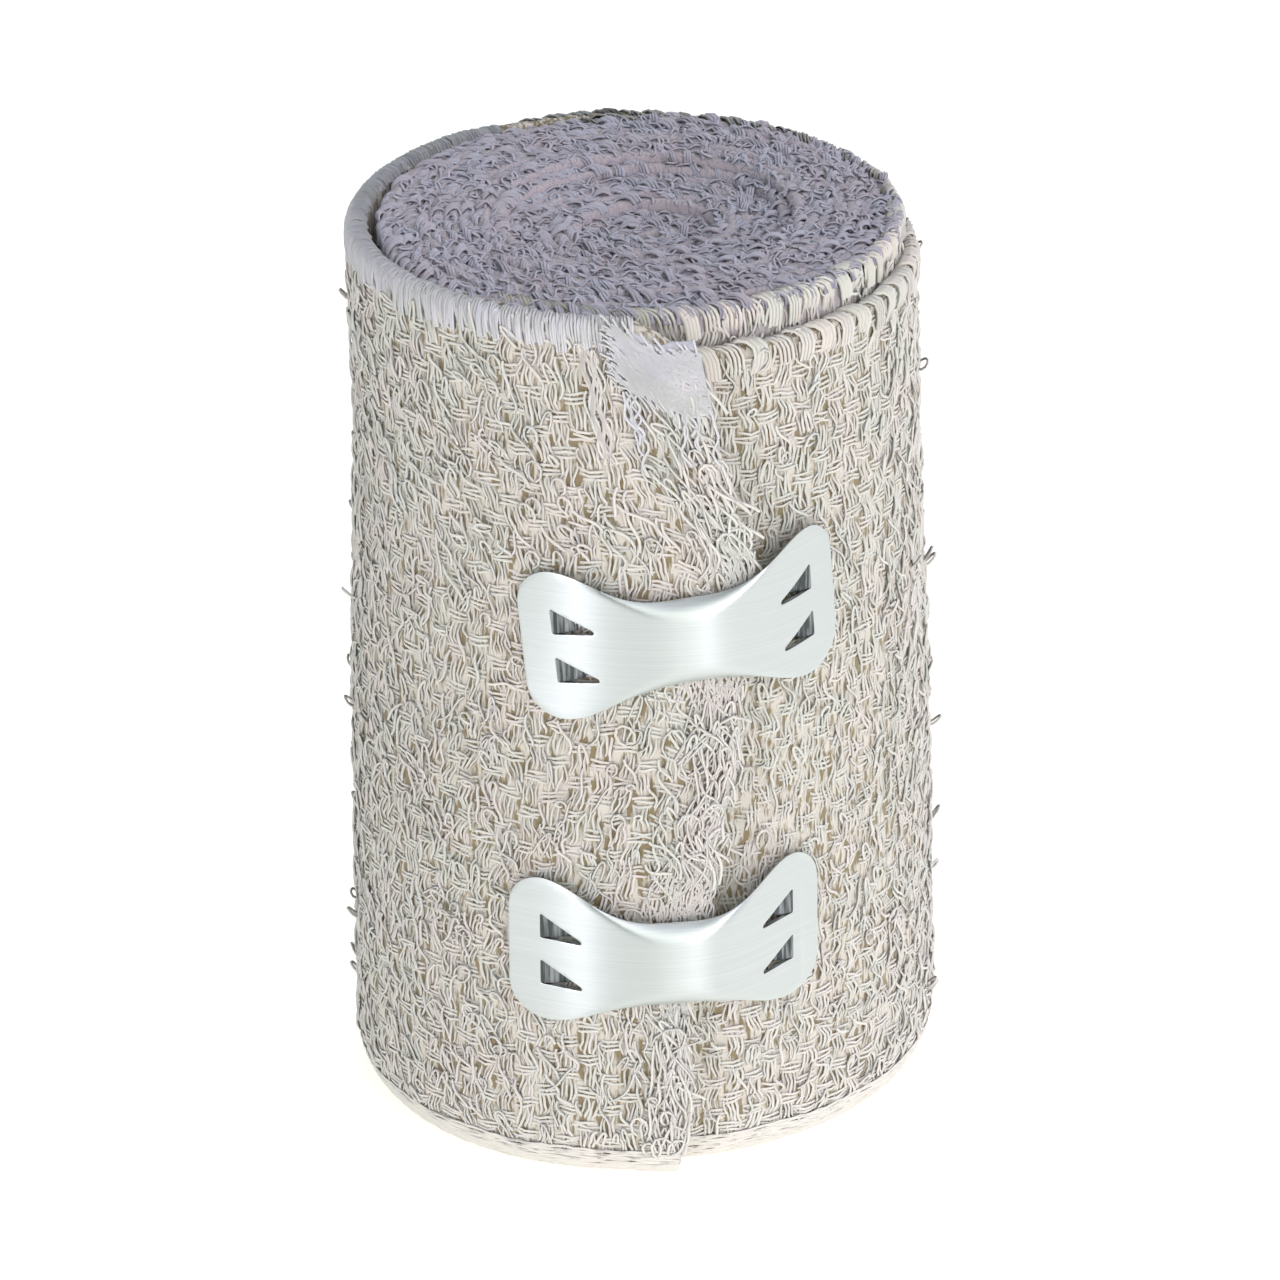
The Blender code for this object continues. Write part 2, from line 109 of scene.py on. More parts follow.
TERRACES = ((11.6 * MM, 1.3 * MM), (5.6 * MM, 1.1 * MM))
TERRACE_WIDTH = 1.8 * MM
INNER_TOP_DROP = 0.5 * MM
SLIP_DROP = 3.0 * MM
SLIP_START, SLIP_FULL, SLIP_HOLD, SLIP_GONE = (math.radians(a) for a in (-25.0, 0.0, 95.0, 175.0))

LEFT_GAP_MIDDLE = math.radians(-85.0)
LEFT_GAP_REACH = math.radians(60.0)
LEFT_GAP_HEIGHTS = (58.0 * MM, 72.0 * MM)
LEFT_GAP_INNER = 0.7 * MM
LEFT_GAP_OUTER = 0.3 * MM
LEFT_GAP_FADE = (1.6, 5.0)

CORNER_DROP = 2.6 * MM
CORNER_FROM = -1.0 * MM
CORNER_WIDTH = 5.0 * MM
CORNER_FOLD_HEIGHT = 0.5 * MM
CORNER_FOLD_MIDDLE = (math.radians(5.5), 71.0 * MM)
CORNER_FOLD_REACH = (math.radians(6.5), 2.6 * MM)
END_LIFT = 0.5 * MM
END_LIFT_WIDTH = math.radians(14.0)
CLIP_HEIGHTS = (49.2 * MM, 22.0 * MM)
CLIP_HOLD_REACH = 10.0 * MM

# The cut edge: height above the foot, and distance round the front from its middle
LOOSE_EDGE = np.array(
    ((0.0, 2.0), (16.6, 2.6), (30.5, 4.9), (41.0, 6.5), (55.5, 7.6), (65.0, 5.2), (70.0, 4.2), (75.0, 3.4))
) * MM

# %% The surface of the cloth


def smooth(value):
    """0 up to 0, 1 from 1 on, and a soft S between them."""
    value = np.clip(value, 0.0, 1.0)
    return value * value * (3.0 - 2.0 * value)


def bump(value):
    """1 at 0, falling softly to 0 at -1 and 1."""
    return 1.0 - smooth(np.abs(value))


def body_radius(angle, height):
    """The mean outer radius: a cone, oval towards its foot and slightly lobed."""
    up = height / ROLL_HEIGHT
    radius = FOOT_RADIUS + (CROWN_RADIUS - FOOT_RADIUS) * up
    oval = OVAL_AT_FOOT * (1.0 - up) * np.cos(2.0 * (angle - OVAL_ANGLE))
    lobes = LOBE_HEIGHT * np.sin(LOBES * angle + LOBE_PHASE) * (1.0 - up)
    waves = WAVE_HEIGHT * np.sin(2.0 * math.pi * WAVES_UP * up + WAVES_ROUND * angle)
    return radius * (1.0 + oval) + lobes + waves


def foot_inset(height):
    """How far the wall curls in under the roll at this height."""
    below = np.clip(1.0 - height / FOOT_ROUND_HEIGHT, 0.0, 1.0)
    return FOOT_ROUND_INSET * (1.0 - np.sqrt(1.0 - below * below))


def left_gap(angle, height):
    """1 where the outer wrap stands off the turn inside it the most."""
    away = (angle - LEFT_GAP_MIDDLE + math.pi) % (2.0 * math.pi) - math.pi
    low, full = LEFT_GAP_HEIGHTS
    return bump(away / LEFT_GAP_REACH) * smooth((height - low) / (full - low))


def edge_wraps(height):
    """Where the cut edge lies, in wraps."""
    edge_angle = np.interp(height, LOOSE_EDGE[:, 0], LOOSE_EDGE[:, 1]) / body_radius(0.0, height)
    return (LOOSE_EDGE_ANGLE - edge_angle) / (2.0 * math.pi)


def angle_at(wraps):
    return LOOSE_EDGE_ANGLE - 2.0 * math.pi * wraps


def wound_radius(wraps, height):
    """The radius of the cloth's outer face, the foot's curl and the loose end's own lift aside."""
    inner = np.maximum(wraps - 1.0, 0.0)
    fade = 1.0 - smooth((wraps - LEFT_GAP_FADE[0]) / (LEFT_GAP_FADE[1] - LEFT_GAP_FADE[0]))
    gap = LEFT_GAP_INNER * fade * left_gap(angle_at(wraps), height) * (wraps > 1.0)
    steps = OUTER_PITCH * (0.5 - np.minimum(wraps, 1.0)) - INNER_PITCH * inner
    return body_radius(angle_at(wraps), height) + steps - gap


def loose_lift(wraps, height):
    """How far the loose end stands off: along its cut edge, at its turned corner and on the left."""
    angle = angle_at(wraps)
    past_edge = (angle - angle_at(edge_wraps(height))) / END_LIFT_WIDTH
    held = np.max([bump((height - middle) / CLIP_HOLD_REACH) for middle in CLIP_HEIGHTS], axis=0)
    across = (angle - CORNER_FOLD_MIDDLE[0]) / CORNER_FOLD_REACH[0]
    up = (height - CORNER_FOLD_MIDDLE[1]) / CORNER_FOLD_REACH[1]
    fold = CORNER_FOLD_HEIGHT * bump(np.hypot(across, up))
    return END_LIFT * smooth(1.0 + past_edge) * (1.0 - held) + fold + LEFT_GAP_OUTER * left_gap(angle, height)


def rim_height(wraps):
    """The height of the cloth's upper edge."""
    wraps = np.asarray(wraps, float)
    angle = angle_at(wraps)
    corner = CORNER_DROP * smooth((angle * CROWN_RADIUS - CORNER_FROM) / CORNER_WIDTH)
    loose = ROLL_HEIGHT - corner
    wound = np.full_like(wraps, ROLL_HEIGHT - INNER_TOP_DROP)
    radius = wound_radius(wraps, ROLL_HEIGHT)
    for step_radius, fall in TERRACES:
        wound = wound - fall * smooth((step_radius - radius) / TERRACE_WIDTH + 0.5)
    past_edge = 2.0 * math.pi * (1.0 - wraps)
    slip = smooth((past_edge - SLIP_START) / (SLIP_FULL - SLIP_START))
    slip = slip * (1.0 - smooth((past_edge - SLIP_HOLD) / (SLIP_GONE - SLIP_HOLD)))
    wound = wound - SLIP_DROP * slip * (wraps < 1.0 + LOOSE_WRAPS)
    part = smooth((wraps - LOOSE_WRAPS + LOOSE_RIM_BLEND / 2.0) / LOOSE_RIM_BLEND)
    return loose * (1.0 - part) + wound * part


def rolled(radius, angle, height, wraps):
    """Points at this radius and angle about the winding's axis, which leans a little at the core."""
    share = np.clip((wraps - 1.0 - LOOSE_WRAPS) / (WRAPS - 1.0 - LOOSE_WRAPS), 0.0, 1.0)
    x = AXIS[0] + CORE_SHIFT[0] * share + radius * np.sin(angle)
    y = AXIS[1] + CORE_SHIFT[1] * share - radius * np.cos(angle)
    return np.stack(np.broadcast_arrays(x, y, height), axis=-1)


def on_cloth(place, height, out=0.0):
    """Points on the outer face of the roll, this far out from it.

    The place runs inwards from 0 at the cut edge, in wraps. On the loose end it fans out, so that
    its lines follow the slant of the cut edge.
    """
    place, height = np.broadcast_arrays(np.asarray(place, float), np.asarray(height, float))
    edge = edge_wraps(height)
    fanned = edge + (LOOSE_WRAPS - edge) * place / LOOSE_WRAPS
    loose = place < LOOSE_WRAPS
    wraps = np.where(loose, fanned, place)
    radius = wound_radius(wraps, height) - foot_inset(height) + out
    radius = radius + np.where(loose, loose_lift(wraps, height), 0.0)
    return rolled(radius, angle_at(wraps), height, np.minimum(wraps, 1.0))


STRIP_STEPS = 4000
strip_wraps = np.linspace(0.0, WRAPS, STRIP_STEPS)
strip_line = rolled(wound_radius(strip_wraps, ROLL_HEIGHT / 2.0), angle_at(strip_wraps), 0.0, strip_wraps)

# %% [markdown]
# ## Helpers for meshes
# A finished piece is a plain mesh with its place in its points, so its object stays at the origin.

# %% Mesh helpers


def new_piece(name, mesh, material=None):
    piece = bpy.data.objects.new(name, mesh)
    bpy.context.scene.collection.objects.link(piece)
    if material:
        mesh.materials.clear()
        mesh.materials.append(material)
    return piece


def grid_mesh(name, points, closed_round=False):
    """A mesh from a grid of points, (columns, rows, 3), which may close from its last row to its first."""
    columns, rows = points.shape[:2]
    numbers = np.arange(columns * rows).reshape(columns, rows)
    if closed_round:
        numbers = np.concatenate([numbers, numbers[:, :1]], axis=1)
    quads = np.stack([numbers[:-1, :-1], numbers[1:, :-1], numbers[1:, 1:], numbers[:-1, 1:]], axis=-1)
    faces = quads.reshape(-1, 4).tolist()
    if closed_round:
        faces.append(numbers[0, :-1].tolist())
        faces.append(numbers[-1, -2::-1].tolist())
    mesh = bpy.data.meshes.new(name)
    mesh.from_pydata(points.reshape(-1, 3).tolist(), [], faces)
    mesh.shade_smooth()
    return mesh


def face_outwards(mesh):
    shape = bmesh.new()
    shape.from_mesh(mesh)
    bmesh.ops.recalc_face_normals(shape, faces=shape.faces)
    shape.to_mesh(mesh)
    shape.free()


# %% [markdown]
# ## Materials
# Unbleached cotton is never one colour. The threads are cream, with greener and pinker patches some
# millimetres across, and each thread is a little lighter or darker than the next one. The ground
# between them, seen only through the gaps, is cream lint with olive shadow. The colour of one
# thread comes from an attribute on its mesh, and the patches come from noise on object
# coordinates, so they stay put when the roll is seen from another side.
#
# Cotton's soft sheen is set on the shader itself. Smooth round threads would still look hard, each
# with a bright and a dark side of its own, and real ones are blurred by their fibre ends. So a
# thread's normal is turned more than half way to that of the cloth: out from the axis on the
# wall, up on the top, and slanting out over the rims.

# %% Cloth materials
THREAD_DARK = (0.68, 0.635, 0.515, 1.0)
THREAD_LIGHT = (0.90, 0.865, 0.76, 1.0)
THREAD_GREEN = (0.71, 0.735, 0.615, 1.0)
THREAD_ROSE = (0.84, 0.72, 0.64, 1.0)
THREAD_PALE = (0.94, 0.885, 0.79, 1.0)
# The top's threads are painted darker and cooler than the wall's, grey to lavender: painted shade and cool
# light from above, on cotton that is cream all over. Their rose patches are painted shade of the terrace
# walls, laid at random.
TOP_SHADED_GREY = (0.57, 0.57, 0.62, 1.0)
TOP_COOL_LIT_LAVENDER = (0.74, 0.70, 0.78, 1.0)
TOP_PAINTED_SHADE_ROSE = (0.56, 0.44, 0.43, 1.0)
# The lint is pale, and its faint lavender cast is painted cool light from above.
LINT_DARK = (0.80, 0.78, 0.80, 1.0)
LINT_LIGHT = (0.90, 0.88, 0.92, 1.0)
RIM_GREY = (0.78, 0.765, 0.735, 1.0)
RIM_CREAM = (0.91, 0.89, 0.85, 1.0)
GROUND_OLIVE = (0.30, 0.24, 0.13, 1.0)
GROUND_CREAM = (0.74, 0.69, 0.58, 1.0)
# On the top the ground is painted pinkish grey: painted shade between the hooks, on lint that is cream.
GROUND_TOP_SHADE = (0.60, 0.53, 0.54, 1.0)
TOP_SHADE_RADII = (20.6 * MM, 20.1 * MM)
TOP_SHADE_HEIGHTS = (71.0 * MM, 72.5 * MM)
# Below this height the threads grow paler towards the foot: partly their own tone, partly painted light from
# the bright floor.
PALE_LIT_FOOT_HEIGHT = 26.0 * MM
PALE_LIT_FOOT_SHARE = 0.45

# Noise: how often it repeats, and which part of its range goes from one colour to the other
PATCHES_PER_METRE, PATCH_RANGE = (260.0, (0.42, 0.62))
STRANDS_PER_METRE, STRAND_RANGE = (2400.0, (0.42, 0.54))
GRAIN_PER_METRE, GRAIN_RANGE = (1500.0, (0.3, 0.7))
STRAND_STRETCH = (1.0, 1.0, 0.25)

# Cotton lets some light through and has a soft bloom of fibre ends
COTTON = {
    "Subsurface Weight": 0.35,
    "Subsurface Scale": 0.3 * MM,
    "Subsurface Radius": (1.0, 0.9, 0.75),
    "Sheen Weight": 0.25,
    "Sheen Roughness": 0.6,
    "Specular IOR Level": 0.2,
}

# The cloth's own normal is the place times the first vector plus the second one
EVENED_SHARE = 0.62
FROM_AXIS = ((1.0, 1.0, 0.0), (-AXIS[0], -AXIS[1], 0.0))
OVER_THE_RIM = ((1.0, 1.0, 0.0), (-AXIS[0], -AXIS[1], 0.6 * CROWN_RADIUS))
UPWARDS = ((0.0, 0.0, 0.0), (0.0, 0.0, 1.0))


def new_material(name, roughness, metallic=0.0):
    material = bpy.data.materials.new(name)
    material.use_nodes = True
    shader = material.node_tree.nodes["Principled BSDF"]
    shader.inputs["Roughness"].default_value = roughness
    shader.inputs["Metallic"].default_value = metallic
    return material, material.node_tree, shader


def add_node(tree, kind, **values):
    """Adds a node and sets its properties, or its inputs where the name is an input's."""
    node = tree.nodes.new(kind)
    for name, value in values.items():
        if name in node.inputs:
            node.inputs[name].default_value = value
        else:
            setattr(node, name, value)
    return node


def wired(tree, kind, output, links, **values):
    """Adds a node, links a socket into each named input, and returns one of its outputs."""
    node = add_node(tree, kind, **values)
    for name, socket in links.items():
        tree.links.new(socket, node.inputs[name])
    return node.outputs[output]


def mixed(tree, share, first, second):
    """Mixes two colours, each of which is a value or a socket, and returns the result's socket."""
    mix = add_node(tree, "ShaderNodeMix", data_type="RGBA")
    for socket, value in ((mix.inputs[0], share), (mix.inputs[6], first), (mix.inputs[7], second)):
        if isinstance(value, bpy.types.NodeSocket):
            tree.links.new(value, socket)
        else:
            socket.default_value = value
    return mix.outputs[2]


def in_range(tree, value, low, high):
    """The share from 0 to 1 of a value between two ends."""
    ends = {"From Min": low, "From Max": high}
    return wired(tree, "ShaderNodeMapRange", "Result", {"Value": value}, clamp=True, **ends)


def stretched(tree, place, scale):
    """The place, scaled along each axis, so that noise on it is drawn out."""
    return wired(tree, "ShaderNodeMapping", "Vector", {"Vector": place}, Scale=scale)


def patchy(tree, place, per_metre, part=PATCH_RANGE, detail=2.0):
    noise = wired(tree, "ShaderNodeTexNoise", "Fac", {"Vector": place}, Scale=per_metre, Detail=detail)
    return in_range(tree, noise, *part)


def add_relief(tree, shader, height, strength, depth):
    """Roughens the surface by a height from 0 to 1, this deep."""
    sizes = {"Strength": strength, "Distance": depth}
    relief = wired(tree, "ShaderNodeBump", "Normal", {"Height": height}, **sizes)
    tree.links.new(relief, shader.inputs["Normal"])


def cotton(shader):
    for name, value in COTTON.items():
        shader.inputs[name].default_value = value


def vector_math(tree, operation, vector, result="Vector"):
    return wired(tree, "ShaderNodeVectorMath", result, {"Vector": vector}, operation=operation)


def own_normal(tree, place, level, lift):
    """The cloth's own normal, not yet of length 1."""
    own = add_node(tree, "ShaderNodeVectorMath", operation="MULTIPLY_ADD")
    tree.links.new(place, own.inputs[0])
    own.inputs[1].default_value = level
    own.inputs[2].default_value = lift
    return own.outputs["Vector"]


def evened(tree, place, shader, facing):
    """Turns the normal part of the way to the cloth's own, as a haze of fibre ends evens the light."""
    mix = add_node(tree, "ShaderNodeMix", data_type="VECTOR")
    mix.inputs[0].default_value = EVENED_SHARE
    tree.links.new(tree.nodes.new("ShaderNodeNewGeometry").outputs["Normal"], mix.inputs[4])
    tree.links.new(vector_math(tree, "NORMALIZE", own_normal(tree, place, *facing)), mix.inputs[5])
    tree.links.new(vector_math(tree, "NORMALIZE", mix.outputs[1]), shader.inputs["Normal"])


def height_share(tree, place, low, high):
    """The share from 0 to 1 of the height between two heights."""
    height = wired(tree, "ShaderNodeSeparateXYZ", "Z", {"Vector": place})
    return in_range(tree, height, low, high)


def thread_material(name, colours, tint_share, facing):
    """Yarn: its own shade, tinted patches, and paler towards the foot, partly its own tone and partly painted
    light from the floor.
    """
    dark, light, green, rose = colours
    material, tree, shader = new_material(name, 0.9)
    place = tree.nodes.new("ShaderNodeTexCoord").outputs["Object"]
    shade = add_node(tree, "ShaderNodeAttribute", attribute_name="shade").outputs["Fac"]
    cream = mixed(tree, shade, dark, light)
    tint = mixed(tree, patchy(tree, place, PATCHES_PER_METRE), green, rose)
    tinted = mixed(tree, tint_share, cream, tint)
    pale_lit_foot = add_node(tree, "ShaderNodeMath", operation="MULTIPLY")
    tree.links.new(height_share(tree, place, PALE_LIT_FOOT_HEIGHT, 0.0), pale_lit_foot.inputs[0])
    pale_lit_foot.inputs[1].default_value = PALE_LIT_FOOT_SHARE
    tree.links.new(mixed(tree, pale_lit_foot.outputs["Value"], tinted, THREAD_PALE), shader.inputs["Base Color"])
    evened(tree, place, shader, facing)
    cotton(shader)
    return material


def ground_material():
    """Upright lint between the threads: cream strands with olive shadow, and painted grey shade on the top.
    """
    material, tree, shader = new_material("crepe_ground", 0.95)
    place = tree.nodes.new("ShaderNodeTexCoord").outputs["Object"]
    strands = patchy(tree, stretched(tree, place, STRAND_STRETCH), STRANDS_PER_METRE, STRAND_RANGE)
    wall = mixed(tree, strands, GROUND_OLIVE, GROUND_CREAM)
    radius = vector_math(tree, "LENGTH", own_normal(tree, place, *FROM_AXIS), result="Value")
    # Painted shade on the top: the ground turns pinkish grey inside the crown and above the wall.
    top = add_node(tree, "ShaderNodeMath", operation="MULTIPLY")
    tree.links.new(in_range(tree, radius, *TOP_SHADE_RADII), top.inputs[0])
    tree.links.new(height_share(tree, place, *TOP_SHADE_HEIGHTS), top.inputs[1])
    tree.links.new(mixed(tree, top.outputs["Value"], wall, GROUND_TOP_SHADE), shader.inputs["Base Color"])
    add_relief(tree, shader, strands, strength=0.6, depth=0.2 * MM)
    cotton(shader)
    return material


def lint_material():
    """Matted fibre ends: smooth and pale, with a faint grain and a painted lavender cast of cool light."""
    material, tree, shader = new_material("crepe_lint", 0.95)
    place = tree.nodes.new("ShaderNodeTexCoord").outputs["Object"]
    grain = patchy(tree, place, GRAIN_PER_METRE, GRAIN_RANGE)
    tree.links.new(mixed(tree, grain, LINT_DARK, LINT_LIGHT), shader.inputs["Base Color"])
    add_relief(tree, shader, grain, strength=0.4, depth=0.1 * MM)
    cotton(shader)
    return material


WALL_COLOURS = (THREAD_DARK, THREAD_LIGHT, THREAD_GREEN, THREAD_ROSE)
TOP_SHADED_COLOURS = (TOP_SHADED_GREY, TOP_COOL_LIT_LAVENDER, TOP_SHADED_GREY, TOP_PAINTED_SHADE_ROSE)
# The rim threads take the lint's pale lavender for their patches: painted cool light.
RIM_COLOURS = (RIM_GREY, RIM_CREAM, THREAD_GREEN, LINT_LIGHT)
crepe_thread = thread_material("crepe_thread", WALL_COLOURS, tint_share=0.42, facing=FROM_AXIS)
crepe_top_thread = thread_material("crepe_top_thread", TOP_SHADED_COLOURS, tint_share=0.35, facing=UPWARDS)
crepe_rim_thread = thread_material("crepe_rim_thread", RIM_COLOURS, tint_share=0.3, facing=OVER_THE_RIM)
crepe_ground = ground_material()
crepe_lint = lint_material()

# %% [markdown]
# ## The wound strip
# The cloth under the threads is a sheet about a millimetre thick. It could be a stack of rings,
# but the real strip has one inner and one outer end, so it is built as one spiral: a column of
# points at each step round, up the outer face, over the rim and down the inner face.

# %% Wound cloth
GROUND_THICKNESS = 0.98 * MM
LOOSE_THICKNESS = 1.2 * MM
COLUMN_STEP = 2.1 * MM
FINE_STEPS = 6000
LOOSE_COLUMNS = 70
LOOSE_SHARE = 0.999
RIM_ROUND = 0.25 * MM
FOOT_ROWS = tuple(z * MM for z in (0.0, 0.3, 1.0, 2.5, 5.0))
MIDDLE_ROWS = tuple(z * MM for z in (10.0, 20.0, 31.0, 42.0, 53.0, 63.0))
RIM_ROWS = tuple(z * MM for z in (6.0, 3.2, 1.4, 0.25, 0.0))
LOOSE_ROWS = tuple(z * MM for z in (0.8, 1.2, 2.0, 3.5, 5.5, 9, 13, 18, 24, 30, 36, 42, 48, 54, 60, 65))
RIM_RISE = 0.34 * MM
RIM_BUMP = 0.15 * MM
RIM_BUMPS = (41.0, 17.3)


def foot_height(wraps):
    """The height of the cloth's lower edge, which rises where the outer wrap curls in under it."""
    inside = np.clip(OUTER_PITCH * 0.5 + INNER_PITCH * (wraps - 1.0), 0.0, FOOT_ROUND_INSET)
    below = np.sqrt(1.0 - (1.0 - inside / FOOT_ROUND_INSET) ** 2)
    rise = FOOT_ROUND_HEIGHT * (1.0 - below) + 2.0 * GROUND_THICKNESS * (inside < FOOT_ROUND_INSET)
    return np.where(wraps < 1.0 + LOOSE_WRAPS, 0.0, rise)


def equal_steps(start, end, step):
    """Wraps between two ends, spaced by this length along the cloth."""
    fine = np.linspace(start, end, FINE_STEPS)
    line = rolled(wound_radius(fine, ROLL_HEIGHT / 2.0), angle_at(fine), 0.0, fine)
    run = np.concatenate([[0.0], np.cumsum(np.linalg.norm(np.diff(line, axis=0), axis=1))])
    return np.interp(np.linspace(0.0, run[-1], max(int(run[-1] / step), 2)), run, fine)


def sheet(name, rows, thickness, face_at):
    """A sheet whose section runs up its outer face and down its inner one, a little round at the ends.

    The rows are heights, and face_at gives the points at a height and a depth under the outer face.
    """
    faces = []
    for inner in (False, True):
        face = []
        for row, height in enumerate(rows):
            tuck = RIM_ROUND if row in (0, len(rows) - 1) else 0.0
            face.append(face_at(height, thickness - tuck if inner else tuck))
        faces.append(np.stack(face[::-1] if inner else face, axis=1))
    mesh = grid_mesh(name, np.concatenate(faces, axis=1), closed_round=True)
    face_outwards(mesh)
    return new_piece(name, mesh, crepe_ground)


def wound_cloth():
    wraps = equal_steps(LOOSE_WRAPS, WRAPS, COLUMN_STEP)
    bumps = np.sin(wraps * RIM_BUMPS[0]) * np.sin(wraps * RIM_BUMPS[1])
    rim = rim_height(wraps) + RIM_RISE + RIM_BUMP * bumps
    foot = foot_height(wraps)
    rows = [foot + z for z in FOOT_ROWS]
    rows += [np.full_like(rim, z) for z in MIDDLE_ROWS]
    rows += [rim - z for z in RIM_ROWS]

    def face_at(height, depth):
        inset = np.where(wraps < 1.0 + LOOSE_WRAPS, foot_inset(height), 0.0)
        radius = wound_radius(wraps, height) - inset - depth
        return rolled(radius, angle_at(wraps), height, wraps)

    return sheet("wound_cloth", rows, GROUND_THICKNESS, face_at)


def loose_cloth():
    shares = np.linspace(0.0, 1.0, LOOSE_COLUMNS)
    rim = rim_height(edge_wraps(ROLL_HEIGHT) * (1.0 - shares) + LOOSE_WRAPS * shares)
    rows = [np.full_like(rim, z) for z in LOOSE_ROWS] + [rim - z for z in RIM_ROWS[1:]]

    def face_at(height, depth):
        return on_cloth(shares * LOOSE_WRAPS * LOOSE_SHARE, height, -depth)

    return sheet("loose_cloth", rows, LOOSE_THICKNESS, face_at)


wound = wound_cloth()
loose = loose_cloth()
print("faces in the wound and the loose cloth:", len(wound.data.polygons), len(loose.data.polygons))

# %% [markdown]
# ## From lines to yarn
# A thread could be a bevelled curve, but thousands of curve objects are slow. Here all threads of
# one kind are one mesh of bare edges, and a Geometry Nodes tree turns each run of edges into a
# curve and sweeps a small polygon along it. Each point carries two numbers: how thick the thread
# is there, and its shade. The result is kept as a plain mesh.

# %% The yarn tree
THREAD_RADIUS = 0.13 * MM
THREAD_SIDES = 3


def new_tree(name, inputs):
    """An empty Geometry Nodes tree, the sockets that bring its inputs, and the one for its result.

    Its inputs are a geometry and the named ones, and its result is a geometry.
    """
    tree = bpy.data.node_groups.new(name, "GeometryNodeTree")
    tree.interface.new_socket("Geometry", in_out="INPUT", socket_type="NodeSocketGeometry")
    for label, kind in inputs.items():
        tree.interface.new_socket(label, in_out="INPUT", socket_type=kind)
    tree.interface.new_socket("Geometry", in_out="OUTPUT", socket_type="NodeSocketGeometry")
    given = tree.nodes.new("NodeGroupInput").outputs
    return tree, given, tree.nodes.new("NodeGroupOutput").inputs["Geometry"]


def swept(tree, given, lines):
    """Adds the nodes that sweep a round section along curves, and returns the geometry's socket."""
    thick = add_node(tree, "GeometryNodeInputNamedAttribute", data_type="FLOAT", Name="thick")
    own = {"Curve": lines, "Radius": thick.outputs["Attribute"]}
    curves = wired(tree, "GeometryNodeSetCurveRadius", "Curve", own)
    size = {"Resolution": given["Sides"], "Radius": given["Thread radius"]}
    section = wired(tree, "GeometryNodeCurvePrimitiveCircle", "Curve", size)
    sweep = {"Curve": curves, "Profile Curve": section}
    tubes = wired(tree, "GeometryNodeCurveToMesh", "Mesh", sweep, **{"Fill Caps": True})
    real = wired(tree, "GeometryNodeRealizeInstances", "Geometry", {"Geometry": tubes})
    look = {"Geometry": real, "Material": given["Material"]}
    return wired(tree, "GeometryNodeSetMaterial", "Geometry", look)


SWEEP_INPUTS = {
    "Thread radius": "NodeSocketFloat",
    "Sides": "NodeSocketInt",
    "Material": "NodeSocketMaterial",
}


def yarn_tree():
    tree, given, result = new_tree("Spun yarn", SWEEP_INPUTS)
    curves = wired(tree, "GeometryNodeMeshToCurve", "Curve", {"Mesh": given["Geometry"]})
    tree.links.new(swept(tree, given, curves), result)
    return tree


def line_object(name, threads):
    """Bare edges along every thread: a list of (points, thickness, shade)."""
    points = np.concatenate([line for line, _, _ in threads])
    starts = np.cumsum([0] + [len(line) for line, _, _ in threads])
    numbers = np.arange(len(points) - 1)
    joined = np.isin(numbers + 1, starts, invert=True)
    edges = np.stack([numbers, numbers + 1], axis=1)[joined]
    mesh = bpy.data.meshes.new(name)
    mesh.from_pydata(points.tolist(), edges.tolist(), [])
    for label, column in (("thick", 1), ("shade", 2)):
        values = [np.broadcast_to(thread[column], len(thread[0])) for thread in threads]
        attribute = mesh.attributes.new(label, "FLOAT", "POINT")
        attribute.data.foreach_set("value", np.concatenate(values).astype(np.float32))
    return new_piece(name, mesh)


def grown(name, guide, tree, **inputs):
    """Runs a tree on a guide and returns what it made as a plain mesh object."""
    grow = guide.modifiers.new(tree.name, "NODES")
    grow.node_group = tree
    for item in tree.interface.items_tree:
        if item.in_out == "INPUT" and item.name in inputs:
            grow[item.identifier] = inputs[item.name]
    evaluated = guide.evaluated_get(bpy.context.evaluated_depsgraph_get())
    mesh = bpy.data.meshes.new_from_object(evaluated)
    guide.modifiers.remove(grow)
    bpy.data.objects.remove(guide)
    mesh.name = name
    mesh.shade_smooth()
    piece = new_piece(name, mesh)
    mesh.calc_loop_triangles()
    print(f"{name}: {len(mesh.loop_triangles)} triangles")
    return piece


SPUN_YARN = yarn_tree()


def spun(name, threads, material=crepe_thread):
    inputs = {"Thread radius": THREAD_RADIUS, "Sides": THREAD_SIDES, "Material": material}
    return grown(name, line_object(name + "_lines", threads), SPUN_YARN, **inputs)


# %% [markdown]
# ## The upright threads
# The weft of crepe runs across the strip, so on a roll that stands on end it is upright. It lies in
# bundles of four, under two millimetres apart, that go over one bundle of warp and under the next.
# Each bundle wanders and its threads cross each other. Sums of sines with random phases give the
# wander: they are cheap, and with a fixed seed they come out the same each time. The threads lie
# half sunk in the lint of the ground, so no dark gap opens under them. Where the outer wrap has
# slipped down, the turn inside it shows a few millimetres and needs threads as well.

# %% Weft
random = np.random.default_rng(7)
WALL_LENGTH = 2.0 * math.pi * FOOT_RADIUS
LAST_PLACE = 1.04
BARE_PLACES = (1.48, 2.10)
BARE_DEPTH = 5.0 * MM
FOOT_BAND_HEIGHT = 3.0 * MM
THREAD_STEP = 0.52 * MM
WEAVE_DEPTH = 0.13 * MM
WARP_PITCH = 1.55 * MM
WEFT_PITCH = 1.8 * MM
WEFT_THREADS = 4
WEFT_GAP = 0.35 * MM
WEFT_LIFT = 0.01 * MM
WEFT_OVER_RIM = 0.1 * MM
WEFT_THICK = 2.3

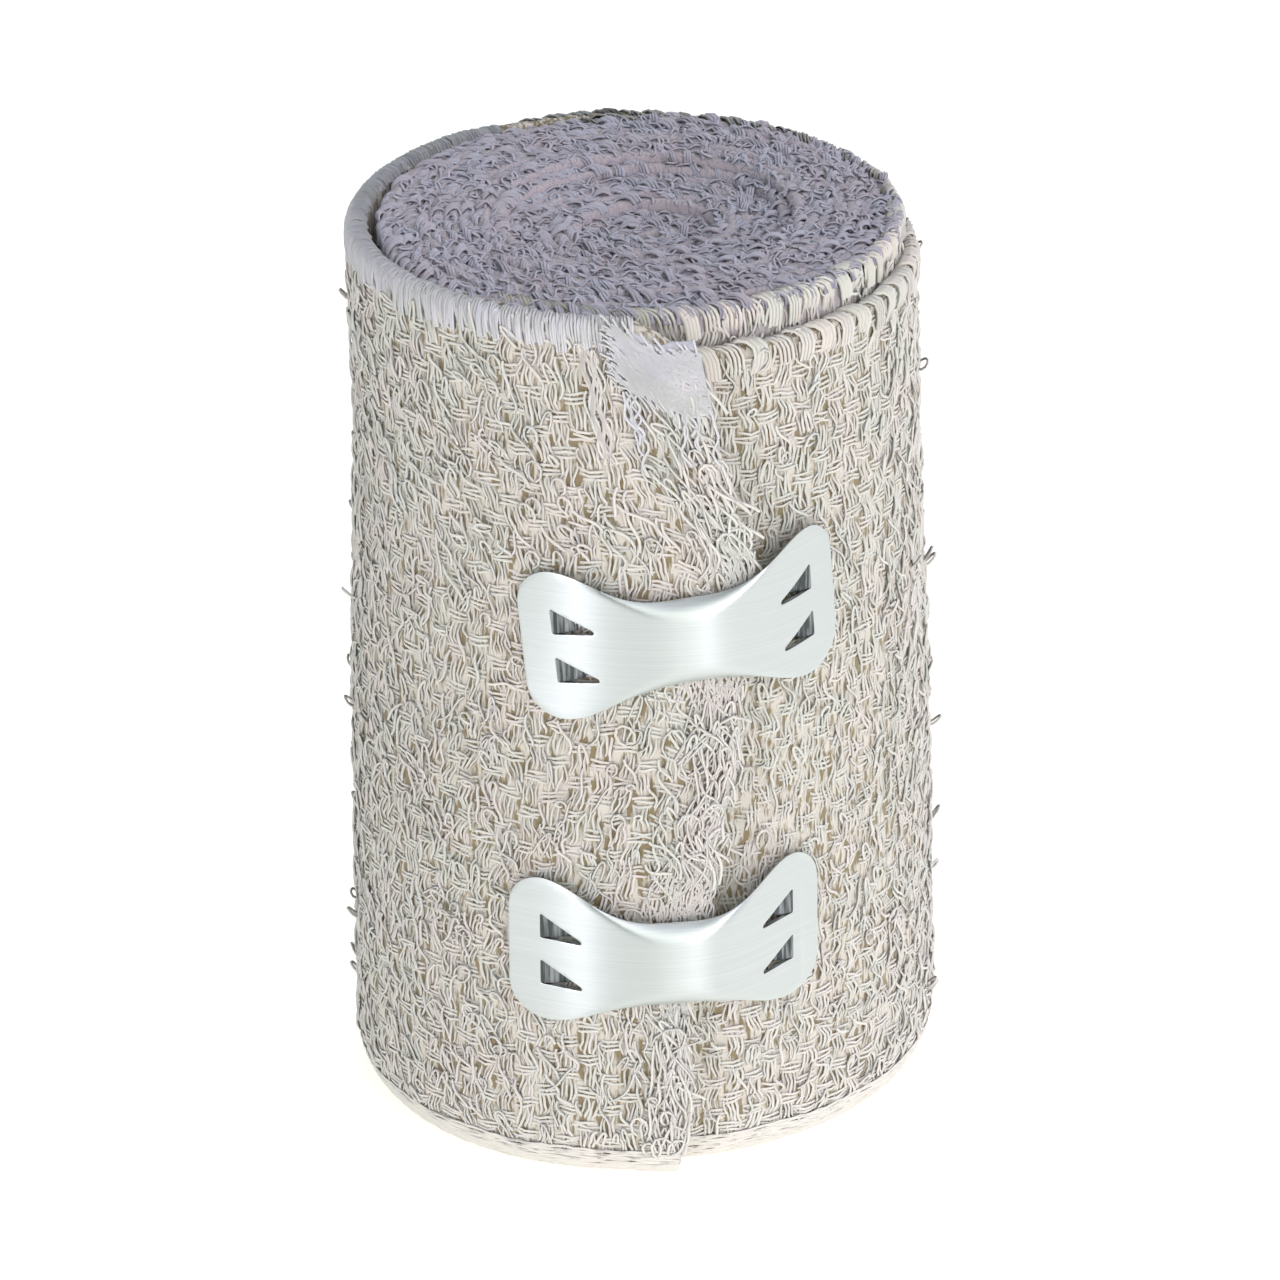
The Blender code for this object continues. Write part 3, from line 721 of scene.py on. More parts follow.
# Spans of random values: a bundle's shift, its lower end in mm, and a thread's shade
WEFT_SHIFT = (-0.12, 0.12)
WEFT_END = (0.0, 0.5)
WEFT_SHADE = (0.50, 0.85)

# Waves, as pairs of height and length, and the spans of their stretch and phase
BUNDLE_WAVES = ((0.24 * MM, 8.0 * MM), (0.16 * MM, 3.3 * MM))
STRAND_WAVES = ((0.09 * MM, 2.6 * MM), (0.05 * MM, 1.3 * MM))
DEPTH_WAVES = ((0.08 * MM, 3.1 * MM), (0.04 * MM, 1.2 * MM))
THICK_WAVES = ((0.2, 4.0 * MM), (0.12, 1.5 * MM))
SHADE_WAVES = ((0.12, 6.0 * MM),)
WAVE_STRETCH = (0.8, 1.25)
WAVE_PHASE = (0.0, 2.0 * math.pi)


def wander(along, waves):
    """A wandering offset: for each wave, (height, length), a sine with a random phase."""
    total = np.zeros_like(along)
    for height, length in waves:
        stretch = random.uniform(*WAVE_STRETCH)
        phase = random.uniform(*WAVE_PHASE)
        total += height * np.sin(2.0 * math.pi * along / (length * stretch) + phase)
    return total


def from_middle(strand, strands, gap):
    """How far a thread lies from the middle of its bundle."""
    return (strand - (strands - 1) / 2.0) * gap


def weft_threads(first, last, reach=ROLL_HEIGHT):
    """Bundles of upright threads that reach this far down from the rim."""
    threads = []
    for bundle in range(first, last):
        place = (bundle + 0.5 + random.uniform(*WEFT_SHIFT)) * WEFT_PITCH / WALL_LENGTH
        rim = float(rim_height(max(place, float(edge_wraps(ROLL_HEIGHT)))))
        lowest = FOOT_BAND_HEIGHT - random.uniform(*WEFT_END) * MM
        height = np.arange(max(lowest, rim - reach), rim + WEFT_OVER_RIM, THREAD_STEP)
        side = wander(height, BUNDLE_WAVES)
        weave = np.cos(math.pi * (height / WARP_PITCH - 0.5 + bundle))
        for strand in range(WEFT_THREADS):
            across = side + from_middle(strand, WEFT_THREADS, WEFT_GAP)
            across = across + wander(height, STRAND_WAVES)
            out = WEAVE_DEPTH * weave + wander(height, DEPTH_WAVES)
            line = on_cloth(place - across / WALL_LENGTH, height, out + WEFT_LIFT)
            thick = WEFT_THICK + wander(height, THICK_WAVES)
            shade = np.clip(random.uniform(*WEFT_SHADE) + wander(height, SHADE_WAVES), 0.0, 1.0)
            threads.append((line, thick, shade))
    return threads


BUNDLES = int(LAST_PLACE * WALL_LENGTH / WEFT_PITCH)
weft_left = spun("weft_left", weft_threads(0, BUNDLES // 2))
weft_right = spun("weft_right", weft_threads(BUNDLES // 2, BUNDLES))
bare_turn = [int(place * WALL_LENGTH / WEFT_PITCH) for place in BARE_PLACES]
weft_inner = spun("weft_inner", weft_threads(*bare_turn, reach=BARE_DEPTH))

# %% [markdown]
# ## The threads that go round
# The warp runs along the strip in bundles of three, and takes the other side of the plain weave. Where
# the outer wrap has slipped down, the warp comes down with it.

# %% Warp
WARP_STEP = 0.70 * MM
WARP_START = 0.002
WARP_THREADS = 3
WARP_GAP = 0.36 * MM
WARP_LIFT = -0.05 * MM
WARP_THICK = 2.1
WARP_SHADE = (0.50, 0.75)
WARP_BUNDLE_WAVES = ((0.12 * MM, 7.0 * MM),)
WARP_STRAND_WAVES = ((0.08 * MM, 2.6 * MM), (0.05 * MM, 1.6 * MM))
WARP_DEPTH_WAVES = ((0.06 * MM, 3.0 * MM),)
WARP_SHADE_WAVES = ((0.12, 8.0 * MM),)


def rim_over(place, nearest=0.02):
    """The height of the rim over a place, which is taken no nearer to the cut edge than this."""
    return rim_height(np.maximum(place, nearest))


def warp_threads():
    threads = []
    place = np.arange(WARP_START, LAST_PLACE, WARP_STEP / WALL_LENGTH)
    along = place * WALL_LENGTH
    rim = rim_over(place, nearest=0.01) / ROLL_HEIGHT
    for row in range(int(FOOT_BAND_HEIGHT / WARP_PITCH + 0.5), int(ROLL_HEIGHT / WARP_PITCH)):
        middle = (row + 0.5) * WARP_PITCH * rim + wander(along, WARP_BUNDLE_WAVES)
        weave = -np.cos(math.pi * (along / WEFT_PITCH - 0.5 + row))
        for strand in range(WARP_THREADS):
            height = middle + from_middle(strand, WARP_THREADS, WARP_GAP)
            height = height + wander(along, WARP_STRAND_WAVES)
            out = WEAVE_DEPTH * weave + wander(along, WARP_DEPTH_WAVES) + WARP_LIFT
            line = on_cloth(place, height, out)
            shade = np.clip(random.uniform(*WARP_SHADE) + wander(along, WARP_SHADE_WAVES), 0.0, 1.0)
            threads.append((line, WARP_THICK, shade))
    return threads


warp = spun("warp", warp_threads())

# %% [markdown]
# ## The snarls
# Over-twisted yarn throws up hairpins, rings and stray bends all over the cloth. Each snarl is a
# short flat curve, drawn in the plane of the cloth and then laid on it: its two ends go down into
# the weave and its middle stands up. Four simple shapes with random sizes and turns are enough.
# Most lean only a little from upright, because they are slack in the weft. Just right of the cut
# edge the cloth was pulled tight, so few stand there. Under the clips they are pressed flat.

# %% Snarls
SNARL_POINTS = 8
SNARLS = 3300
SNARL_PLACES = (0.005, 1.05)
SNARL_MARGIN = 1.0 * MM
SNARL_OUT = 0.16 * MM
SNARL_LOWEST = 0.3 * MM
SNARL_OVER_RIM = 0.4 * MM
SNARL_TILT = math.radians(24.0)
STRAY_SHARE = 0.07
CALM_PLACES = (0.86, 1.1)
CALM_SHARE = 0.4
CLIP_RADIUS = 24.0 * MM
CLIP_REACH = (13.6 * MM, 6.8 * MM)
CLIP_MIDDLES = ((3.4 * MM, 49.2 * MM, 0.101), (1.9 * MM, 22.0 * MM, 0.0))

# Spans of random values: sizes in mm, thickness and shade. A snarl that is drawn past BARE_FROM is
# laid on the bare turn instead, BARE_BELOW_RIM under its rim.
SNARL_WIDTH = (0.15, 0.42)
SNARL_LENGTH = (0.9, 2.4)
SNARL_STAND = (0.05, 0.28)
SNARL_THICK = (0.7, 1.05)
SNARL_SHADE = (0.6, 1.0)
STRAY_LENGTH = (0.9, 1.5)
STRAY_STAND = (0.4, 1.1)
BARE_FROM = 1.02
BARE_BELOW_RIM = (0.5, 4.0)


def hairpin(share, length, width):
    turn = math.pi * share
    return width * np.cos(turn), length * np.sin(turn) ** 0.8 - 0.5 * length


def ring(share, length, width):
    turn = math.radians(300.0) * share - math.radians(60.0)
    return 0.30 * length * np.cos(turn), 0.45 * length * np.sin(turn)


def bend(share, length, width):
    return width * np.sin(1.6 * math.pi * share), length * (share - 0.5) * 1.6


def stray(share, length, width):
    return width * np.cos(1.3 * math.pi * share), length * (share - 0.5) * 1.2


SNARL_SHAPES = (hairpin, hairpin, bend, bend, bend, stray, stray, stray, ring)


def any_shape():
    return SNARL_SHAPES[random.integers(len(SNARL_SHAPES))]


def turned(across, up, turn):
    """A flat curve, turned in its plane."""
    return across * math.cos(turn) - up * math.sin(turn), across * math.sin(turn) + up * math.cos(turn)


def under_clip(place, height):
    """Whether this place of the cloth lies under a clip, or close beside one."""
    angle = angle_at(place + edge_wraps(height) * max(1.0 - place / LOOSE_WRAPS, 0.0))
    round_front = ((angle + math.pi) % (2.0 * math.pi) - math.pi) * CLIP_RADIUS
    for middle, clip_height, slope in CLIP_MIDDLES:
        along = round_front - middle
        if abs(along) < CLIP_REACH[0] and abs(height - clip_height - slope * along) < CLIP_REACH[1]:
            return True
    return False


def snarl_line(place, middle, length, tilt, stand, shape):
    """One snarl laid on the cloth."""
    share = np.linspace(0.0, 1.0, SNARL_POINTS)
    x, z = turned(*shape(share, length, random.uniform(*SNARL_WIDTH) * MM), tilt)
    out = SNARL_OUT + stand * np.sin(math.pi * share)
    highest = float(rim_over(place)) + SNARL_OVER_RIM
    return on_cloth(place - x / WALL_LENGTH, np.clip(middle + z, SNARL_LOWEST, highest), out)


def snarl_threads():
    threads = []
    while len(threads) < SNARLS:
        place = random.uniform(*SNARL_PLACES)
        rim = float(rim_over(place))
        middle = random.uniform(FOOT_BAND_HEIGHT + SNARL_MARGIN, rim - SNARL_MARGIN)
        if place > BARE_FROM:
            place = random.uniform(*BARE_PLACES)
            middle = float(rim_height(place)) - random.uniform(*BARE_BELOW_RIM) * MM
        if CALM_PLACES[0] < place < CALM_PLACES[1] and random.random() > CALM_SHARE:
            continue
        shape = any_shape()
        stand = random.uniform(*SNARL_STAND) * MM
        length = random.uniform(*SNARL_LENGTH) * MM
        if random.random() < STRAY_SHARE:
            shape = ring
            stand = random.uniform(*STRAY_STAND) * MM
            length = random.uniform(*STRAY_LENGTH) * MM
        if under_clip(place, middle):
            stand = 0.0
        line = snarl_line(place, middle, length, random.normal(0.0, SNARL_TILT), stand, shape)
        threads.append((line, random.uniform(*SNARL_THICK), random.uniform(*SNARL_SHADE)))
    return threads


snarls = spun("snarls", snarl_threads())

# %% [markdown]
# ## The cut edge
# The loose end was cut across, so its last wefts have come free. Along the edge they lie in a soft
# whitish strip of loops. The top corner is folded over into a smooth pad of lint: fine fibres are
# combed over it, a few loose ends hang below it, and a bundle of slack wefts hangs beside it. A
# fringe of fibre ends runs along the rim.

# %% Fuzz along the cut edge
EDGE_SNARLS = 520
EDGE_HEIGHTS = (FOOT_BAND_HEIGHT + 0.5 * MM, 72.0 * MM)
EDGE_FUZZ_WIDTH = 4.2 * MM
EDGE_SPREAD = 0.5
EDGE_OVERHANG = 0.3 * MM
EDGE_TILT = math.radians(20.0)
EDGE_LENGTH = (1.4, 3.6)
EDGE_STAND = (0.2, 0.55)
EDGE_THICK = (0.7, 1.1)
EDGE_SHADE = (0.85, 1.0)

# The folded corner: its size, how far out its pad stands, and the farthest places past the edge
CORNER_REACH = 6.0 * MM
CORNER_DEPTH = 4.6 * MM
CORNER_OUT = 0.62 * MM
PAST_EDGE = {"pad": -0.001, "fibres": -0.002, "ends": -0.003}

# The fibres combed over it: spans of their place and depth in shares of its size, of their length
# in mm, thickness and shade, and the mean and the spread of their slope
COMBED_FIBRES = 420
COMBED_PLACE = (-0.05, 1.0)
COMBED_BELOW = (0.0, 1.0)
COMBED_LENGTH = (1.2, 3.0)
COMBED_SLOPE = (math.radians(-32.0), math.radians(18.0))
COMBED_WAVES = ((0.06 * MM, 0.6),)
COMBED_OUT = 0.54 * MM
COMBED_ARCH = 0.08 * MM
COMBED_THICK = (0.4, 0.65)
COMBED_SHADE = (0.4, 1.0)

# The loose ends below it: spans of their place and length in mm, and of their thickness
HANGING_ENDS = 14
HANGING_POINTS = 14
HANGING_TOP = 69.8 * MM
HANGING_PLACE = (0.0, 6.0)
HANGING_LENGTH = (2.0, 7.0)
HANGING_WAVES = ((0.35 * MM, 5.0 * MM), (0.15 * MM, 2.0 * MM))
HANGING_OUT = 0.50 * MM
HANGING_ARCH = 0.15 * MM
HANGING_ARCHES = 700.0
HANGING_THICK = (0.5, 0.7)

# The threads along its lower side: where they start and how far they run, and their fall, mm
FOLD_THREADS = 3
FOLD_POINTS = 16
FOLD_START, FOLD_RUN = (6.3, 6.0)
FOLD_TOP = 73.6 * MM
FOLD_FALL_START, FOLD_FALL_STEP, FOLD_FALL = (2.6, 0.25, 3.0)
FOLD_WAVES = ((0.25 * MM, 0.7),)
FOLD_THICK = 0.9

# The fringe along the rim: spans in mm of its slant, rise, start and lean, and of its thickness
RIM_FIBRES = 200
RIM_FIBRE_SLANT = (-0.5, 0.5)
RIM_FIBRE_RISE = (0.1, 0.4)
RIM_FIBRE_OUT = (-0.5, 0.0)
RIM_FIBRE_LEAN = (0.0, 0.35)
RIM_FIBRE_THICK = (0.35, 0.5)
RIM_FIBRE_ROOT = 0.15 * MM

# The bundle of slack wefts: its place, the spans of its spread and length in mm, and its threads
BUNDLE_THREADS = 9
BUNDLE_POINTS = 16
BUNDLE_PLACE = 8.2 * MM
BUNDLE_TOP = 73.0 * MM
BUNDLE_OUT = 0.30 * MM
BUNDLE_SPREAD = (-0.5, 0.5)
BUNDLE_LENGTH = (7.0, 9.5)
SLACK_WAVES = ((0.22 * MM, 4.0 * MM),)
BUNDLE_THICK = (0.9, 1.4)
BUNDLE_SHADE = (0.75, 1.0)


def edge_threads():
    threads = []
    for _ in range(EDGE_SNARLS):
        middle = random.uniform(*EDGE_HEIGHTS)
        inward = abs(random.normal(0.0, EDGE_SPREAD)) * EDGE_FUZZ_WIDTH
        place = (inward - EDGE_OVERHANG) / WALL_LENGTH
        shape = any_shape()
        stand = 0.0 if under_clip(place, middle) else random.uniform(*EDGE_STAND) * MM
        tilt = random.normal(0.0, EDGE_TILT)
        line = snarl_line(place, middle, random.uniform(*EDGE_LENGTH) * MM, tilt, stand, shape)
        threads.append((line, random.uniform(*EDGE_THICK), random.uniform(*EDGE_SHADE)))
    return threads


def hanging_bundle():
    """A pale bundle of slack wefts, which hangs just left of the folded corner."""
    threads = []
    for _ in range(BUNDLE_THREADS):
        drop = np.linspace(0.0, random.uniform(*BUNDLE_LENGTH) * MM, BUNDLE_POINTS)
        across = BUNDLE_PLACE + random.uniform(*BUNDLE_SPREAD) * MM + wander(drop, SLACK_WAVES)
        line = on_cloth(across / WALL_LENGTH, BUNDLE_TOP - drop, BUNDLE_OUT)
        threads.append((line, random.uniform(*BUNDLE_THICK), random.uniform(*BUNDLE_SHADE)))
    return threads


def combed_fibres():
    """Fine fibres combed over the folded corner."""
    threads = []
    share = np.linspace(0.0, 1.0, SNARL_POINTS)
    for _ in range(COMBED_FIBRES):
        from_edge = random.uniform(*COMBED_PLACE) * CORNER_REACH
        below = random.uniform(*COMBED_BELOW) * CORNER_DEPTH
        length = random.uniform(*COMBED_LENGTH) * MM
        slope = random.normal(*COMBED_SLOPE)
        across = (share - 0.5) * length * math.cos(slope)
        up = (share - 0.5) * length * math.sin(slope) + wander(share, COMBED_WAVES)
        place = np.maximum((from_edge - across) / WALL_LENGTH, PAST_EDGE["fibres"])
        out = COMBED_OUT + COMBED_ARCH * np.sin(math.pi * share)
        line = on_cloth(place, rim_over(place) - below + up, out)
        threads.append((line, random.uniform(*COMBED_THICK), random.uniform(*COMBED_SHADE)))
    return threads


def hanging_ends():
    """Loose ends below the folded corner."""
    threads = []
    for _ in range(HANGING_ENDS):
        from_edge = random.uniform(*HANGING_PLACE) * MM
        drop = np.linspace(0.0, random.uniform(*HANGING_LENGTH) * MM, HANGING_POINTS)
        place = np.maximum((from_edge + wander(drop, HANGING_WAVES)) / WALL_LENGTH, PAST_EDGE["ends"])
        out = HANGING_OUT + HANGING_ARCH * np.abs(np.sin(drop * HANGING_ARCHES))
        line = on_cloth(place, HANGING_TOP - drop, out)
        threads.append((line, random.uniform(*HANGING_THICK), 1.0))
    return threads


def fold_threads():
    """Threads that slope down along the lower side of the folded corner."""
    threads = []
    run = np.linspace(0.0, 1.0, FOLD_POINTS)
    for number in range(FOLD_THREADS):
        place = (FOLD_START - FOLD_RUN * run) * MM / WALL_LENGTH
        fall = (FOLD_FALL_START + FOLD_FALL_STEP * number + FOLD_FALL * run) * MM
        height = FOLD_TOP - (fall + wander(run, FOLD_WAVES))
        threads.append((on_cloth(place, height, CORNER_OUT), FOLD_THICK, 1.0))
    return threads


def rim_fringe():
    """Fibre ends along the rim of the loose end."""
    threads = []
    share = np.linspace(0.0, 1.0, SNARL_POINTS)
    for _ in range(RIM_FIBRES):
        middle = random.uniform(0.0, LOOSE_WRAPS)
        place = middle + (share - 0.5) * random.uniform(*RIM_FIBRE_SLANT) * MM / WALL_LENGTH
        rim = rim_over(place) + random.uniform(*RIM_FIBRE_RISE) * MM * np.sin(math.pi * share)
        out = random.uniform(*RIM_FIBRE_OUT) * MM + random.uniform(*RIM_FIBRE_LEAN) * MM * share
        line = on_cloth(place, rim - RIM_FIBRE_ROOT, out)
        threads.append((line, random.uniform(*RIM_FIBRE_THICK), 1.0))
    return threads


edge_fuzz = spun("edge_fuzz", edge_threads() + hanging_bundle())
corner_lines = combed_fibres() + hanging_ends() + fold_threads() + rim_fringe()
corner_fuzz = spun("corner_fuzz", corner_lines, material=crepe_rim_thread)

# %% The folded corner

# Its section over the rim, mm: out from the cloth's face, and up from its rim
CORNER_OVER_RIM = ((-1.3, -0.4), (-1.0, 0.25), (-0.5, 0.55), (0.0, 0.55), (0.35, 0.3))
CORNER_COLUMNS = 30
CORNER_ROWS = 20
CORNER_START = -0.03
CORNER_TOP = 0.12
CORNER_SIDE_FADE = 0.4
CORNER_LOW_END, CORNER_LOW_SLANT, CORNER_LOW_FADE = (1.15, 0.4, 0.3)
CORNER_SINK = 0.1 * MM
CORNER_BACK = -0.5 * MM


def corner_fold():
    """The folded corner itself: a smooth pad of lint over the rim, which sinks into the cloth."""
    across = np.linspace(CORNER_START, 1.0, CORNER_COLUMNS)[:, None]
    place = np.maximum(across * CORNER_REACH / WALL_LENGTH, PAST_EDGE["pad"])
    rim = rim_over(place)
    side = smooth((1.0 - across) / CORNER_SIDE_FADE)
    rows = []
    for out, rise in CORNER_OVER_RIM:
        rows.append(on_cloth(place, rim + rise * MM * side, out * MM * side)[:, 0])
    for down in np.linspace(CORNER_TOP, 1.0, CORNER_ROWS):
        inside = side * smooth((CORNER_LOW_END - down - CORNER_LOW_SLANT * across) / CORNER_LOW_FADE)
        rows.append(on_cloth(place, rim - down * CORNER_DEPTH, CORNER_OUT * inside - CORNER_SINK)[:, 0])
    rows.append(on_cloth(place, rim - CORNER_DEPTH, CORNER_BACK)[:, 0])
    mesh = grid_mesh("corner_fold", np.stack(rows, axis=1), closed_round=True)
    face_outwards(mesh)
    return new_piece("corner_fold", mesh, crepe_lint)


corner = corner_fold()

# %% [markdown]
# ## The selvedge
# Where the weft turns round at the edge of the strip it makes hooks: a few threads side by side
# that come up the outer face, lean back and go down over the rim. Seen from above, the top of the
# roll is nothing but such hooks, turn upon turn. One hook of each kind is given as a list of
# points, and a second tree sets copies of it along a rim: it walks the rim in equal steps, turns
# each copy to face along it, and varies its size and lean with a fixed seed.

# %% The hook tree
WALL_HOOK = (
    (0.10, -0.12, -1.90),
    (0.10, -0.22, -1.20),
    (0.06, -0.26, -0.50),
    (-0.12, -0.16, 0.10),
    (-0.48, 0.15, 0.40),
    (-0.90, 0.52, 0.40),
    (-1.22, 0.80, 0.05),
    (-1.36, 0.95, -0.50),
)
TOP_HOOK = (
    (0.10, -0.15, -0.70),
    (0.04, -0.20, -0.10),
    (-0.18, -0.06, 0.26),
    (-0.52, 0.25, 0.40),
    (-0.90, 0.60, 0.32),
    (-1.15, 0.88, 0.02),
    (-1.24, 0.98, -0.60),
)
BAND_HOOK = (
    (0.25, -0.12, -2.60),
    (0.20, -0.22, -1.90),
    (0.12, -0.26, -1.10),
    (0.05, -0.22, -0.35),
    (0.0, 0.05, 0.18),
    (-0.08, 0.50, 0.32),
    (-0.14, 0.95, 0.10),
    (-0.18, 1.20, -0.60),
)

# Neighbouring threads of a hook: their gap and rise in mm, and how much thicker and lighter they are
HOOK_THREAD_GAP = 0.30
HOOK_THREAD_RISE = 0.07
HOOK_THREAD_THICKER = 0.12
HOOK_THREAD_LIGHTER = 0.1

# How far a hook sways about each of its axes, as a share of the sway that is asked for
HOOK_SWAY = (1.0, 0.7, 1.0)
RIM_STEP = 0.5 * MM
LOOSE_RIM_POINTS = 140
LOOSE_RIM_END = 0.75


def hook_guide(shape, strands, shade):
    line = np.array(shape) * MM
    threads = []
    for number in range(strands):
        side = number - (strands - 1) / 2.0
        odd = number % 2
        shift = np.array((side * HOOK_THREAD_GAP, 0.0, HOOK_THREAD_RISE * odd)) * MM
        thick = 1.0 + HOOK_THREAD_THICKER * odd
        threads.append((line + shift, thick, shade + HOOK_THREAD_LIGHTER * side))
    return line_object("hook_shape", threads)


def hook_tree():
    inputs = {
        "Hook": "NodeSocketObject",
        "Spacing": "NodeSocketFloat",
        "Smallest": "NodeSocketVector",
        "Largest": "NodeSocketVector",
        "Sway": "NodeSocketFloat",
        "Seed": "NodeSocketInt",
        **SWEEP_INPUTS,
    }
    tree, given, result = new_tree("Selvedge hooks", inputs)
    rim = wired(tree, "GeometryNodeMeshToCurve", "Curve", {"Mesh": given["Geometry"]})
    walk = {"Curve": rim, "Length": given["Spacing"]}
    points = wired(tree, "GeometryNodeResampleCurve", "Curve", walk, mode="LENGTH")

    upright = {"primary_axis": "Z", "secondary_axis": "X", "Primary Axis": (0.0, 0.0, 1.0)}
    along = {"Secondary Axis": tree.nodes.new("GeometryNodeInputTangent").outputs["Tangent"]}
    facing = wired(tree, "FunctionNodeAxesToRotation", "Rotation", along, **upright)
    sizes = {"Min": given["Smallest"], "Max": given["Largest"], "Seed": given["Seed"]}
    size = wired(tree, "FunctionNodeRandomValue", "Value", sizes, data_type="FLOAT_VECTOR")
    hook = wired(tree, "GeometryNodeObjectInfo", "Geometry", {"Object": given["Hook"]})
    copying = {"Points": points, "Instance": hook, "Rotation": facing, "Scale": size}
    copies = wired(tree, "GeometryNodeInstanceOnPoints", "Instances", copying)

    scaling = {"operation": "SCALE", "Vector": HOOK_SWAY}
    most = wired(tree, "ShaderNodeVectorMath", "Vector", {"Scale": given["Sway"]}, **scaling)
    least = wired(tree, "ShaderNodeVectorMath", "Vector", {"Vector": most}, operation="SCALE", Scale=-1.0)
    leans = {"Min": least, "Max": most, "Seed": given["Seed"]}
    lean = wired(tree, "FunctionNodeRandomValue", "Value", leans, data_type="FLOAT_VECTOR")
    leaning = {"Instances": copies, "Rotation": lean}
    swayed = wired(tree, "GeometryNodeRotateInstances", "Instances", leaning)
    whole = wired(tree, "GeometryNodeRealizeInstances", "Geometry", {"Geometry": swayed})
    curves = wired(tree, "GeometryNodeMeshToCurve", "Curve", {"Mesh": whole})
    tree.links.new(swept(tree, given, curves), result)
    return tree


SELVEDGE_HOOKS = hook_tree()


def rim_line(start, end):
    """The rim of the wound strip between two wraps, in the direction in which the strip winds out."""
    wraps = equal_steps(start, end, RIM_STEP)[::-1]
    height = rim_height(wraps)
    return rolled(wound_radius(wraps, height), angle_at(wraps), height, wraps)


def loose_rim_line():
    """The rim of the loose end, from the back to where its corner is folded."""
    place = np.linspace(LOOSE_WRAPS, LOOSE_RIM_END * CORNER_REACH / WALL_LENGTH, LOOSE_RIM_POINTS)
    edge = float(edge_wraps(ROLL_HEIGHT))
    height = rim_height(edge + (LOOSE_WRAPS - edge) * place / LOOSE_WRAPS)
    return on_cloth(place, height)


def hooks(name, rim, shape, spacing, smallest, largest, **choices):
    """Hooks along a rim. The choices are sway, seed, strands, radius, shade and material."""
    one = hook_guide(shape, choices.get("strands", 3), choices.get("shade", 0.62))
    guide = line_object(name + "_rim", [(rim, 1.0, 0.5)])
    inputs = {
        "Hook": one,
        "Spacing": spacing,
        "Smallest": smallest,
        "Largest": largest,
        "Sway": choices.get("sway", 0.2),
        "Seed": choices["seed"],
        "Thread radius": choices.get("radius", 0.2 * MM),
        "Sides": THREAD_SIDES,
        "Material": choices.get("material", crepe_thread),
    }
    piece = grown(name, guide, SELVEDGE_HOOKS, **inputs)
    bpy.data.objects.remove(one)
    return piece


# %% Hooks along the rims
top_hooks = hooks(
    "top_hooks",
    rim_line(1.02, WRAPS),
    TOP_HOOK,
    spacing=1.1 * MM,
    smallest=(0.5, 0.7, 0.7),
    largest=(0.95, 1.1, 1.1),
    sway=0.5,
    seed=1,
    radius=0.17 * MM,
    material=crepe_top_thread,
)
wall_hooks = hooks(
    "wall_hooks",
    rim_line(LOOSE_WRAPS + 0.02, 1.03),
    WALL_HOOK,
    spacing=2.0 * MM,
    smallest=(1.0, 0.9, 0.85),
    largest=(1.25, 1.2, 1.15),
    seed=5,
    strands=4,
)
inner_hooks = hooks(
    "inner_hooks",
    rim_line(1.5, 2.12),
    WALL_HOOK,
    spacing=1.7 * MM,
    smallest=(0.9, 0.9, 0.8),
    largest=(1.25, 1.2, 1.15),
    seed=11,
    strands=4,
)
band_hooks = hooks(
    "band_hooks",
    loose_rim_line(),
    BAND_HOOK,
    spacing=0.27 * MM,
    smallest=(0.55, 0.95, 0.65),
    largest=(0.95, 1.1, 0.95),
    sway=0.15,
    seed=8,
    strands=2,
    radius=0.16 * MM,
    shade=0.8,
    material=crepe_rim_thread,
)

# %% [markdown]
# ## Curls on the top
# Between the hooks of neighbouring turns lie loose curls, which blur the rows. They are snarls too,
# but laid flat on the rims: across the turns as much as along them.

# %% Top curls
TOP_CURLS = 1300
CURL_REACH = CROWN_RADIUS - 1.5 * MM
CURL_LIFT = 0.25 * MM
CURL_INWARD = 0.4 * MM

# Spans of random values: the area's share, sizes in mm, thickness and shade
CURL_AREA = (0.002, 1.0)
CURL_LENGTH = (0.6, 1.4)
CURL_WIDTH = (0.15, 0.35)
CURL_STAND = (0.1, 0.45)
CURL_THICK = (0.9, 1.25)
CURL_SHADE = (0.4, 0.95)


def top_curl_threads():
    threads = []
    share = np.linspace(0.0, 1.0, SNARL_POINTS)
    for _ in range(TOP_CURLS):
        radius = CURL_REACH * math.sqrt(random.uniform(*CURL_AREA))
        wraps = 1.0 + (CROWN_RADIUS - OUTER_PITCH / 2.0 - radius) / INNER_PITCH
        length = random.uniform(*CURL_LENGTH) * MM
        shape = any_shape()
        curl = shape(share, length, random.uniform(*CURL_WIDTH) * MM)
        x, y = turned(*curl, random.uniform(0.0, math.pi))
        middle = rolled(radius - CURL_INWARD, angle_at(wraps), float(rim_height(wraps)), wraps)
        lift = CURL_LIFT + random.uniform(*CURL_STAND) * MM * np.sin(math.pi * share)
        line = middle + np.stack([x, y, lift], axis=1)
        threads.append((line, random.uniform(*CURL_THICK), random.uniform(*CURL_SHADE)))
    return threads


top_curls = spun("top_curls", top_curl_threads(), material=crepe_top_thread)

# %% [markdown]
# ## The selvedge at the foot
# The foot of the roll shows the other selvedge from outside. It is woven tighter than the rest: a
# smooth pale band about three millimetres high, with fine level rows, where the wall curls in. The
# upright threads and the snarls stop at its upper edge.

